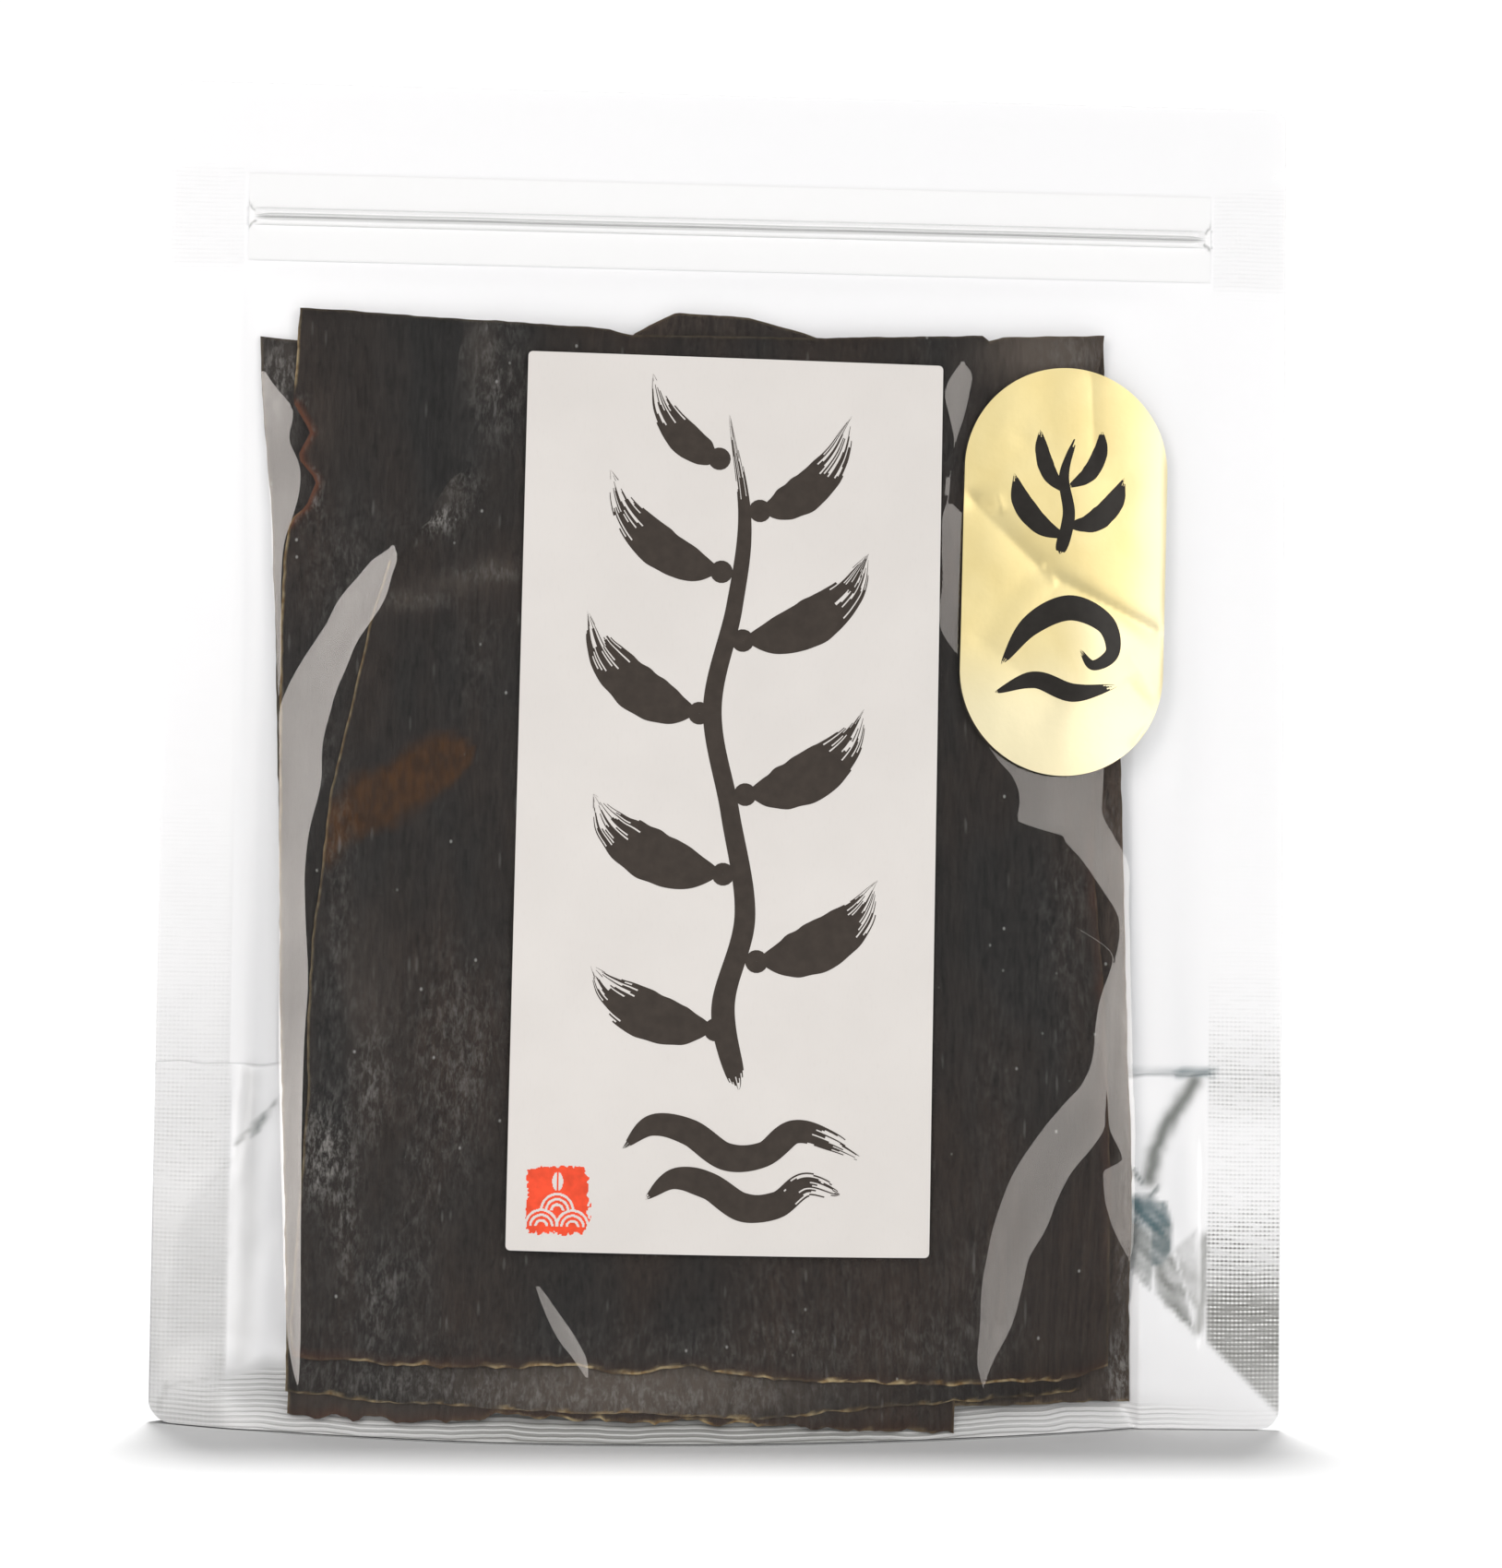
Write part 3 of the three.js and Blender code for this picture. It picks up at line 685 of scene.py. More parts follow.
def silverFields(x, z):
    shade = np.zeros(np.broadcast(x, z).shape)
    tealReflection = np.zeros(shade.shape)
    wobble = 0.2 * lattice(x, z, (1.4, 1.4), 16)
    streaks = 0.78 + 0.34 * lattice(x - z, x + z, (7, 1.5), 18) + 0.1 * lattice(x, z, (0.9, 0.9), 17)
    streaks = np.clip(streaks, 0.2, 1)
    # painted shade and painted teal reflection from the strokes and patches
    for points, width, dark, tint in silverMarks["strokes"]:
        touch = np.exp(-((awayFrom(x + wobble, z - wobble, points) / width) ** 2))
        shade = np.maximum(shade, dark * touch)
        tealReflection = np.maximum(tealReflection, tint * touch * mix(0.7, 1, 0.5 + 0.5 * lattice(x, z, (1, 1), 17)))
    for corners, dark, tint in silverMarks["patches"]:
        touch = smooth(inside(x + wobble, z + wobble, corners), -0.55, 0.55)
        shade = np.maximum(shade, dark * touch * streaks)
        tealReflection = np.maximum(tealReflection, tint * touch * streaks)
    atSeal = smooth(np.abs(x), sealInner - 0.2, sealInner + 0.2)
    aboveFold = ((x - 71.9) * 26.9 + (z - 30.2) * 27.3) / 38.3  # over the corner's slanted weld
    # painted shade down the side seals, on the right only above the corner's slanted weld
    dark = along(silverMarks["rightSeal"], z) * smooth(aboveFold, -0.4, 0.8) * (x > 0)
    dark = dark + along(silverMarks["leftSeal"], z) * (x < 0)
    shade = np.maximum(shade, dark * atSeal * mix(0.8, 1, 0.5 + 0.5 * lattice(x, z, (6, 5), 19)))
    # a faint painted shade on the seal ends beside the zip and over the header, to show their outline
    zipEnds = atSeal * smooth(z, zipLow - 1.4, zipLow - 0.8) * (1 - smooth(z, zipHigh + 0.6, zipHigh + 1.2))
    shade = np.maximum(shade, np.maximum(0.05 * zipEnds, 0.03 * smooth(z, zipHigh - 0.4, zipHigh)))
    rightWeave = along(silverMarks["rightWeave"], z) * smooth(aboveFold, -0.5, 0.5)
    weave = atSeal * np.where(x > 0, rightWeave, along(silverMarks["leftWeave"], z))
    return {"shade": shade, "tealReflection": tealReflection, "weave": weave}


def backPanelPiece():
    rows = rowHeights()
    z = rows[:, None]
    x = bagColumns(rows, [np.full(rows.shape, v) for v in (-79.0, -20.0, 40.0, 73.0)])
    inner = grid(x, backFace(x, z) - filmBag["backThickness"], z)
    ribs = filmBag["zipRib"] * zipRelief(z) * (1 - smooth(np.abs(x), sealInner - 2.5, sealInner - 0.5))
    inner[..., 1] += ribs
    fields = {"ribs": np.zeros(x.shape), **silverFields(x, z)}
    # the painted shade and reflection stay off the back panel below the gusset's fold
    for key in ("shade", "tealReflection"):
        fields[key] = fields[key] * (z > 61)
    piece = shell("back_panel", inner, offset(inner, filmBag["backThickness"]), silver, attributes=fields)
    return finished(piece, "silver_film", "pouch")


gusset = {
    "foldZ": 62.7,
    "thickness": 0.14,
    "toFront": 0.16,  # from the clear front's outside to its front leg
    "toBack": 0.03,
    "stack": 8.8,  # how far the sheets push its front leg back
    "leastGap": 0.44,  # between the outsides of its two legs
    # along x: height and depth of the ribbed weld at the foot, and the painted shade over it
    "ribTop": [(-100, 6), (-89, 8), (-80, 10), (-74, 10), (-40, 7), (40, 6), (70, 5), (100, 4)],
    "ribs": [(-100, 0.15), (-88, 0.35), (-76, 0.6), (60, 0.6), (80, 0.4), (90, 0.1)],
    "paintedFootShade": [
        (-100, 0.2), (-78, 0.35), (-60, 0.5), (-35, 0.78), (20, 0.8), (40, 0.5), (60, 0.2), (80, 0.05),
        (100, 0),
    ],
}


def gussetPiece():
    bend = gusset["foldZ"] - np.array([6, 5, 4, 3, 2.3, 1.7, 1.2, 0.8, 0.5, 0.3, 0.15, 0.05, 0])
    front = np.concatenate((np.arange(0, 12, 0.5), np.arange(12, 56, 0.75), bend))
    back = np.concatenate((bend[-2::-1], np.linspace(56, 0, 30)[1:]))
    heights = np.concatenate((front, back))[:, None]
    isBack = np.arange(heights.size)[:, None] >= front.size
    share = heights / gusset["foldZ"]
    spans = np.arange(-99.8, -73, 0.9), np.arange(-73, 70, 2.0), np.linspace(70, 99.8, 55)
    x = np.concatenate(spans)[None, :]
    fold = gusset["foldZ"] + 0.35 * lattice(x, 0, (3.5, 1), 8)
    z = share * fold
    z = np.maximum(z, cornerInset(bag["footCorner"], halfWidth - np.abs(x)) + 0.2)
    near = frontFace(x, z) + gusset["toFront"]
    far = backFace(x, z) - gusset["toBack"] - filmBag["backThickness"]
    overStack = smooth(x, -88, -77) * (1 - smooth(x, 72, 86))
    near = near + gusset["stack"] * overStack * smooth(z, -4, 14)
    flat = np.maximum(near, seamY(z) - 1.2)  # beside the sheets it lies on the back panel
    near = np.minimum(mix(near, flat, smooth(z, 3, 16)), far - gusset["leastGap"])
    roundness = np.clip(0.6 * (far - near), 0.3, 5.5)  # height of the bend at the fold
    below = np.clip((fold - z) / roundness, 0, 1)
    lean = 0.5 * (1 - np.sqrt(np.maximum(0, 1 - (1 - below) ** 2)))
    lean = np.where(isBack, 1 - lean, lean)
    crumple = 0.16 * lattice(x, z, (5, 9), 12) + 0.08 * lattice(x, z, (2.4, 4), 13)
    sides = smooth(np.abs(x), 70, 75) * (1 - smooth(np.abs(x), 84, 87))
    sides = sides * smooth(z, 8, 20) * (1 - smooth(z, 55, 61))
    y = mix(near, far, lean) + (crumple - 0.2) * sides * ~isBack
    ribTop = along(gusset["ribTop"], x)
    ribs = np.where(isBack, 0, along(gusset["ribs"], x)) * (1 - smooth(z, ribTop - 0.6, ribTop))
    fields = silverFields(x, z)
    # painted shade over the ribbed weld at the foot, darkest in the middle
    paintedFootShade = along(gusset["paintedFootShade"], x) * (1 - smooth(z, ribTop, ribTop + 3))
    fields["shade"] = np.where(isBack, 0, np.maximum(fields["shade"], paintedFootShade))
    fields["ribs"] = ribs
    points = grid(x, y, z)
    piece = shell("gusset", points, offset(points, gusset["thickness"]), silver, attributes=fields)
    return finished(piece, "silver_film")


frontFilm = frontFilmPiece()
backPanel = backPanelPiece()
gussetFilm = gussetPiece()
print("film bag made")

zipStrip = {
    "length": 2 * (sealInner - 0.6),
    "flat": 0.05,
    # painted shade lines of the closed profile, dark and pale: height above its middle, half width, depth of
    # shade
    "lines": [(0.95, 0.12, 0.12), (0.48, 0.14, 0.55), (-0.12, 0.2, 0.72), (-0.5, 0.2, 0.35)],
}


def zipPiece():
    near = 0.955  # from here outwards the columns are fine
    spans = np.linspace(-1, -near, 24)[:-1], np.linspace(-near, near, 90)[:-1], np.linspace(near, 1, 24)
    x = np.concatenate(spans)[None, :] * zipStrip["length"] / 2
    z = np.concatenate((
        np.linspace(zipLow, bag["zipZ"] - 1.8, 14)[:-1],
        np.linspace(bag["zipZ"] - 1.8, bag["zipZ"] + 1.8, 46)[:-1],
        np.linspace(bag["zipZ"] + 1.8, zipHigh, 14),
    ))[:, None]
    ends = 1 - smooth(np.abs(x), sealInner - 3.5, sealInner - 1)
    rib = (filmBag["zipRib"] - 0.05) * zipRelief(z) * ends
    front = grid(x, seamY(z) - zipStrip["flat"] - rib, z)
    back = grid(x, seamY(z) + zipStrip["flat"] + rib, z)
    wander = 0.05 * lattice(x, z, (14, 40), 26)
    up = z - bag["zipZ"] + wander
    line = 0
    fade = smooth(sealInner - np.abs(x), 1.2, 3)
    pinch = mix(0.5, 1, smooth(sealInner - np.abs(x), 1.5, 5))
    # painted shade along the closed rib profile
    for height, half, tone in zipStrip["lines"]:
        line = np.maximum(line, tone * np.exp(-(((up / pinch - height) / half) ** 2)) * fade)
    # painted shade in the creases at the zip's ends
    for side in (-1, 1):
        for crease in ([(85.5, 1.1), (86.6, 2.4), (86.9, 4.2)], [(85.2, -0.9), (86.7, -2.2), (87, -4.4)]):
            points = [(side * cx, bag["zipZ"] + cz) for cx, cz in crease]
            ragged = 0.25 * lattice(x, z, (0.7, 0.7), 27)
            line = np.maximum(line, 0.6 * np.exp(-((awayFrom(x + ragged, z, points) / 0.22) ** 2)))
    # a faint painted shadow along both tape edges
    edge = np.minimum(z - zipLow, zipHigh - z)
    line = np.maximum(line, 0.1 * (1 - smooth(edge, 0.05, 0.3)))
    piece = shell("zip_profile", front, back, zipPlastic(), attributes={"line": line})
    return finished(piece, "zip_plastic", "zip_front_half", "zip_back_half")


zipProfile = zipPiece()

# The kelp sheets from front to back. Outlines are (z, x) down the sides and (x, z) along top and
# bottom; crust says how pale each edge is, by the same stations.
kelpSheets = {
    "kelp_front": {
        "depth": 1.7, "thickness": 1.1, "tone": (0.0155, 0.0150, 0.0145),
        "brown": (0.030, 0.0205, 0.0155), "salt": 0.3, "seed": 21, "ragged": 0.35,
        "left": [
            (12.8, -74.8), (14.2, -75.1), (18.7, -75.6), (21.1, -75.4), (28.1, -74.9), (41.1, -74.2),
            (57.9, -73.1), (69, -73.4), (84.7, -72.9), (98.3, -71.3), (110.3, -70.1), (122.9, -67.4),
            (136.4, -64.3), (140.1, -63.9), (154.3, -59.6), (160.9, -56.4), (167.4, -51.5),
            (182.8, -50.4), (194.6, -48.5),
        ],
        "right": [
            (11.6, 68.8), (53.8, 67.7), (78.8, 66.6), (98.5, 64.8), (138.9, 65.5), (187.6, 65.7),
            (194, 66.8),
        ],
        "top": [
            (-48.5, 194.6), (-28.8, 193.8), (-22, 193.3), (-18, 192.4), (14.8, 192.6), (44.9, 193.7),
            (45.9, 192.6), (48.6, 193.6), (66.8, 194.3),
        ],
        "bottom": [
            (-74.8, 12.8), (-36.3, 12.7), (-31.3, 13.6), (-15.1, 12.1), (-11.1, 13), (-6, 13.3),
            (2.9, 11.7), (14.2, 10.8), (35.1, 9.6), (44.6, 9.2), (50.5, 9.8), (59.2, 9.3), (64.8, 10.4),
            (68.8, 11.6),
        ],
        "crust": {
            "left": [(12, 0.35), (60, 0.35), (100, 0.4), (135, 0.6), (153, 0.9), (154.5, 0), (195, 0)],
            "right": [(11, 0.1), (70, 0.08), (98, 0.06), (194, 0.06)],
            "top": [(-48, 0.12), (66, 0.12)],
            "bottom": [(-73, 0.6), (-40, 0.75), (0, 0.9), (30, 1.0), (60, 0.7), (69, 0.3)],
        },
    },
    "kelp_second": {
        "depth": 3.0, "thickness": 1.1, "tone": (0.0150, 0.0148, 0.0145), "brown": (0.026, 0.019, 0.0155),
        "salt": 0.4, "seed": 22, "ragged": 0.3,
        "left": [
            (5, -76), (11.2, -76), (40.4, -76.8), (72.1, -78.2), (103.9, -78.9), (127.1, -79.3),
            (138.5, -79.4), (151.3, -79), (157.2, -78.4), (158.7, -77.6), (160.5, -75.4), (165.3, -73.5),
            (169.3, -77), (173.9, -74.8), (179.1, -77.9), (196, -77),
        ],
        "right": [(5, 64), (192, 64)],
        "top": [(-77, 196), (-48.5, 194.6), (-20, 192), (64, 192)],
        "bottom": [
            (-76, 7.1), (-59.8, 6.1), (-53.8, 6.4), (-44.9, 6.1), (-14, 5.2), (6, 4.4), (20, 5.5),
            (64, 7.5),
        ],
        "crust": {
            "left": [
                (7, 0.5), (40, 0.3), (127, 0.8), (158, 0.9), (159.5, 0), (181, 0), (183, 0.9), (191, 0.9),
                (193, 0.3),
            ],
            "right": [(7, 0), (196, 0)],
            "top": [(-77, 0.12), (64, 0.12)],
            "bottom": [(-76, 0.7), (-60, 0.6), (-40, 0.6), (20, 0.7)],
        },
    },
    "kelp_left": {
        "depth": 5.2, "thickness": 1.0, "tone": (0.020, 0.0195, 0.0195), "brown": (0.030, 0.026, 0.024),
        "salt": 0.5, "seed": 23, "ragged": 0.25,
        "left": [
            (8, -75), (40, -76.5), (100, -78.9), (136, -80.2), (148, -80.8), (158.8, -81.3),
            (171.8, -82.6), (181.6, -83.5), (190.5, -84),
        ],
        "right": [(8, 20), (190, 20)],
        "top": [(-84, 190.7), (-77, 190.2), (20, 189)],
        "bottom": [(-75, 9), (20, 9)],
        "crust": {
            "left": [(0, 0.2), (200, 0.2)],
            "right": [(0, 0), (200, 0)],
            "top": [(-84, 0.12), (20, 0.12)],
            "bottom": [(-84, 0), (20, 0)],
        },
    },
    "kelp_low": {
        "depth": 4.3, "thickness": 0.9, "tone": (0.019, 0.0165, 0.015), "brown": (0.036, 0.022, 0.016),
        "salt": 0.25, "seed": 24, "ragged": 0.6,
        "left": [(2, -75.6), (11.2, -75.8), (60, -75)],
        "right": [(1, 40.5), (9.7, 40.7), (60, 41)],
        "top": [(-75, 60), (41, 60)],
        "bottom": [
            (-75.6, 2.9), (-71, 2.3), (-68, 3.1), (-65.8, 3.6), (-64, 2.6), (-62.2, 4.4), (-57, 3.1),
            (-50.6, 4), (-46, 3.2), (-40.3, 4.4), (-14, 4.1), (14.8, 3), (26.2, 1.7), (40.5, 1.2),
        ],
        "crust": {
            "left": [(0, 0.3), (60, 0.3)], "right": [(0, 0.3), (60, 0.3)], "top": [(-75, 0), (41, 0)],
            "bottom": [(-75, 0.05), (-40, 0.1), (-36, 0.9), (6, 0.8), (12, 0.3), (40, 0.25)],
        },
    },
    "kelp_right": {
        "depth": 5.4, "thickness": 1.0, "tone": (0.024, 0.0205, 0.0185), "brown": (0.048, 0.034, 0.026),
        "salt": 0.4, "seed": 25, "ragged": 0.25,
        "left": [(6, -30), (190, -30)],
        "right": [(4.9, 73.2), (40, 72.6), (66, 71.4), (100, 70.6), (117, 70.1), (160, 67.8), (194.1, 66.8)],
        "top": [
            (-30, 189), (-20, 190.5), (-17.5, 192.8), (-10.1, 196.7), (2.7, 196), (14.1, 193.1),
            (20, 191), (44, 192.4), (48.6, 193.6), (66.8, 194.1),
        ],
        "bottom": [(-30, 9), (41.1, 5.7), (68.8, 5), (73.2, 4.6)],
        "crust": {
            "left": [(0, 0), (200, 0)],
            "right": [(0, 0.1), (200, 0.15)],
            "top": [(-30, 0.2), (70, 0.2)],
            "bottom": [(-30, 0.25), (72, 0.3)],
        },
    },
}

# Salt bloom, and paler, drier skin with a painted highlight along one fold, as (x, z, radius x,
# radius z, strength); creases as (points, height, width).
kelpMarks = {
    "kelp_front": {
        "pale": [
            (57, 191, 11, 6, 1.4), (-45, 189, 3, 7, 0.35), (-62, 74, 4, 16, 0.22), (20, 15, 40, 4, 0.15),
            # the pale spots along the crease at z 144 to 151 paint a highlight on that fold
            (-66, 78, 2, 9, 0.2), (-57, 144.5, 5, 1.8, 0.4), (-49, 147.5, 6, 2.0, 0.42),
            (-42, 150.5, 4, 2.2, 0.4), (-50, 164, 2.5, 4, 0.3),
        ],
        "bloom": [
            (-70, 48, 4, 7, 2.3), (-60, 25, 3, 8, 0.7), (-53, 158.5, 4, 2.2, 1.5),
            (-48, 165, 3, 3.5, 0.9), (-42, 184, 5, 12, 0.75), (-48, 72, 8, 10, 0.3),
            (60, 88, 6, 24, 0.35), (-50, 192, 1.5, 6, 0.8), (-53, 40, 4, 26, 0.35), (0, 17, 60, 4, 0.3),
            (-45, 135, 5, 10, 0.25), (61, 191, 6, 4, 0.8), (47, 60, 5, 25, 0.2),
            (-52, 159.5, 3, 1.3, 1.6), (-68, 90, 3, 22, 0.5), (-62, 60, 3, 9, 0.9), (-66, 36, 2, 8, 1.2),
            (-46, 62, 5, 14, 0.5), (-56, 144.5, 8, 1.2, 0.7), (-43, 149.5, 6, 1.2, 0.8),
        ],
        "creases": [
            ([(-59.5, 153.5), (-56, 160), (-51, 167.5), (-46, 169)], 1.0, 1.7),
            ([(-64, 141), (-56, 142.8), (-47, 146.5), (-38.5, 149.5)], -0.9, 2.0),
            ([(-62, 136.5), (-50, 140), (-38.5, 143)], 0.5, 2.2),
            ([(-43, 195), (-41.5, 176), (-43, 168)], -0.5, 1.6),
            ([(-39, 166), (-46, 161), (-54, 159)], 0.6, 1.2),
            ([(-70, 110), (-58, 105), (-46, 108)], 0.3, 3), ([(60, 100), (56, 70), (58, 40)], -0.3, 4),
            ([(48, 192), (52, 186), (47, 180)], 0.4, 1.8),
        ],
    },
    "kelp_second": {
        "pale": [(-16, 9, 28, 6, 1.4), (-72, 175, 2.5, 6, 0.2)],
        "bloom": [
            (-20, 8, 26, 4, 1.5), (-55, 9.5, 14, 3, 0.6), (-74, 162, 1.4, 3.2, 1.6),
            (-77, 160, 1.8, 1.8, 1.6), (-76.5, 178.5, 1.5, 1.5, 1.2), (-68, 150, 8, 12, 0.4),
            (-72, 120, 4, 16, 0.3),
        ],
        "creases": [([(-74, 158), (-66, 168), (-62, 182)], 0.4, 4), ([(-64, 176), (-60, 150)], -0.3, 3)],
    },
    "kelp_left": {
        "pale": [(-80, 187, 5, 5, 0.25)],
        "bloom": [(-81, 181, 4, 7, 1.4), (-79, 186, 3, 4, 1.1)],
        "creases": [],
    },
    "kelp_low": {
        "pale": [(-60, 4, 25, 4, 0.42), (0, 4, 30, 4, 0.3)],
        "bloom": [(15, 6, 14, 3, 0.3)],
        "creases": [],
    },
    "kelp_right": {
        "pale": [(62, 8, 16, 3.5, 0.35), (71.5, 60, 1.5, 60, 0.3)],
        "bloom": [
            (71.5, 9, 2.4, 6, 2.6), (71.2, 60, 1.2, 60, 0.9), (68, 105, 2, 8, 0.7),
            (67, 165, 2.5, 20, 0.5), (50, 190, 4, 6, 0.5),
        ],
        "creases": [([(-14, 190), (-6, 196)], -0.3, 2)],
    },
}
amberBlade = {
    "middle": [(-73, 102), (-70, 104), (-64, 108.5), (-57, 112.5), (-50, 116.3), (-46, 117.3)],
    "reach": [(-74, 3), (-70, 5.5), (-64, 6), (-58, 5.8), (-52, 5.4), (-48, 4.4), (-45.6, 2), (-45, 0)],
    "strength": 0.95,
}
curledRim = [
    (157.2, -78.4), (158.7, -77.6), (160.5, -75.4), (165.3, -73.5), (169.3, -77), (173.9, -74.8),
    (179.1, -77.9),
]
kelpStack = {
    "behindFilm": 0.25,  # least gap to the clear film
    "press": 0.08,  # how softly a fold flattens against it
    "beforeBack": 0.8,  # least gap to the back panel, for the gusset
    "fineRim": 1.6,
    "thinRim": 0.45,
}


def edgeSteps(length, pitch):  # even steps from 0 to 1 with a few fine ones at both ends
    rim = np.array([0, 0.25, 0.55, 1.0]) / length
    middle = np.linspace(rim[-1], 1 - rim[-1], max(4, int(length / pitch)))
    return np.concatenate((rim[:-1], middle, (1 - rim[:-1])[::-1]))


def tornEdge(station, coarse, fine, share, seed):  # how a cut edge wanders along its length
    return lattice(station, 0, (coarse, 1), seed) + share * lattice(station, 0, (fine, 1), seed + 1)


def kelpPiece(name, s):
    marks = kelpMarks[name]
    width = s["right"][0][1] - s["left"][0][1]
    tall = s["top"][0][1] - s["bottom"][0][1]
    u = edgeSteps(width, 0.95)[None, :]
    v = edgeSteps(tall, 1.25)[:, None]
    x = mix(s["left"][0][1], s["right"][0][1], u) * np.ones(v.shape)
    z = mix(s["bottom"][0][1], s["top"][0][1], v) * np.ones(u.shape)
    for _ in range(4):  # settle both pairs of edges on their outlines
        tear = s["ragged"] * tornEdge(z, 2.2, 0.8, 0.5, s["seed"])
        x = mix(along(s["left"], z) + 0.4 * tear, along(s["right"], z) + 0.4 * tear, u)
        tear = s["ragged"] * tornEdge(x, 3.2, 1.2, 0.7, s["seed"] + 2)
        z = mix(along(s["bottom"], x) + tear, along(s["top"], x) + 0.35 * tear, v)
    depth = s["depth"] * mix(1, 0.5, np.clip(z / bag["kelpTop"], 0, 1))
    wave = 0.25 * lattice(x, z, (8, 55), 24) + 0.12 * lattice(x, z, (3, 22), 25)
    wave = wave + 0.05 * lattice(x, z, (2, 6), s["seed"] + 5)
    for points, height, broad in marks["creases"]:
        wave = wave + height * np.exp(-np.abs(awayFrom(x, z, points)) / broad)
    fromSide = {"left": u * width, "right": (1 - u) * width, "bottom": v * tall, "top": (1 - v) * tall}
    if name == "kelp_front":  # its upper left side lies pressed into the second sheet
        second = kelpSheets["kelp_second"]
        flush = (second["depth"] - s["depth"]) * mix(1, 0.5, z / bag["kelpTop"]) - 0.04
        depth = depth + flush * (1 - smooth(fromSide["left"], 0, 7)) * smooth(z, 150, 158)
    inEdge = np.minimum(fromSide["left"], fromSide["right"])
    inEdge = np.minimum(inEdge, np.minimum(fromSide["bottom"], fromSide["top"]))
    depth = depth * mix(0.35, 1, smooth(z, 0, 20))  # the sheets press together above the foot's weld
    y = frontFace(x, z, across=np.ones(x.shape)) + depth + wave * mix(0.4, 1, smooth(z, 0, 16))
    thickness = s["thickness"] * mix(kelpStack["thinRim"], 1, smooth(inEdge, 0, kelpStack["fineRim"]))
    near = frontFace(x, z) + kelpStack["behindFilm"] + thickness / 2
    y = near + kelpStack["press"] * np.logaddexp(0, (y - near) / kelpStack["press"])
    y = np.minimum(y, backFace(x, z) - kelpStack["beforeBack"] - thickness / 2)
    crust = np.zeros(x.shape)
    broken = lattice(x, z, (2.6, 2.6), s["seed"] + 6) + 0.7 * lattice(x, z, (0.9, 0.9), s["seed"] + 7)
    broken = mix(0.12, 1, smooth(broken, -0.5, 0.6))
    for side, distance in fromSide.items():
        station = z if side in ("left", "right") else x
        reach = 0.36 * (1 + 0.8 * lattice(x, z, (1.7, 5), s["seed"] + 8)) if side == "bottom" else 0.24
        whole = broken if side == "bottom" else mix(0.75, 1, broken)
        within = 1 - smooth(distance, reach * 0.6, reach * 1.5)
        crust = np.maximum(crust, along(s["crust"][side], station) * within * whole)
    fields = {"edge": crust, "amber": np.zeros(x.shape), "rust": np.zeros(x.shape)}
    for key in ("bloom", "pale"):
        fields[key] = np.zeros(x.shape)
        for cx, cz, rx, rz, strength in marks[key]:
            fields[key] += strength * np.exp(-(((x - cx) / rx) ** 2) - ((z - cz) / rz) ** 2)
    if name == "kelp_front":
        wander = 1.4 * lattice(x, z, (5, 4), 31) + 0.7 * lattice(x, z, (2, 2), 32)
        reach = along(amberBlade["reach"], x)
        fromMiddle = np.abs(z - along(amberBlade["middle"], x) + wander)
        spot = 1 - smooth(fromMiddle, reach * 0.55, reach * 1.1 + 0.6)
        fields["amber"] = amberBlade["strength"] * spot * (reach > 0)
        fields["amber"] *= mix(0.75, 1, 0.5 + 0.5 * lattice(x, z, (3, 4), 35))
    if name == "kelp_second":
        rim = [(cx + 0.35 + 0.2 * math.sin(3 * cz), cz) for cz, cx in curledRim]
        near = awayFrom(x, z, rim)
        fields["rust"] = np.exp(-((near / 0.55) ** 2))
        fields["bloom"] += 3 * np.exp(-((near / 0.7) ** 2)) * smooth(lattice(x, z, (2.2, 2.2), 34), 0.25, 0.6)
        y = y - 0.5 * np.exp(-((near / 0.7) ** 2))
    if name in ("kelp_front", "kelp_low"):
        rustRun = along([(-75, 0.5), (-40, 0.5), (-20, 0.2), (30, 0.3), (70, 0.3)], x)
        rustRun = 0.7 * rustRun * (1 - smooth(fromSide["bottom"], 0.4, 1.8))
        rustSide = along([(20, 0), (30, 0.15), (52, 0.5), (66, 0.3), (80, 0.6), (96, 0.6), (112, 0.1)], z)
        rustSide = 0.5 * rustSide * (1 - smooth(fromSide["right"], 0.5, 2.4)) * (name == "kelp_front")
        fields["rust"] = np.maximum(rustRun, rustSide) * mix(0.4, 1, 0.5 + 0.5 * lattice(x, z, (6, 3), 33))
    front, back = grid(x, y - thickness / 2, z), grid(x, y + thickness / 2, z)
    skin = kelpSkin(name + "Skin", s["tone"], s["brown"], s["salt"])
    return finished(shell(name, front, back, skin, attributes=fields), "kelp")


kelpPieces = [kelpPiece(name, sheet) for name, sheet in kelpSheets.items()]
print("kelp sheets made")

label = {
    "width": 74,
    "height": 156.4,
    "x": -0.5,
    "z": 110.4,
    "tilt": 0.75,
    "lift": 0.22,
    "thickness": 0.12,
    "inkThickness": 0.03,
    "corner": 0.8,
}
sticker = {
    "width": 36.8,
    "height": 72.5,
    "x": 59.4,
    "z": 152,
    "tilt": 1.3,
    "lift": 0.65,
    "thickness": 0.12,
    "inkThickness": 0.03,
}


def turnOn(piece, across, up):  # from the sticker's own plane to x and z on the bag
    turn = -math.radians(piece["tilt"])
    x = piece["x"] + across * math.cos(turn) - up * math.sin(turn)
    z = piece["z"] + across * math.sin(turn) + up * math.cos(turn)
    return x, z


def labelSurface(across, up, out=0.0):
    x, z = turnOn(label, across, up)
    wave = 0.08 * lattice(x, z, (24, 40), 41)
    return grid(x, frontFace(x, z) - label["lift"] - out + wave, z)


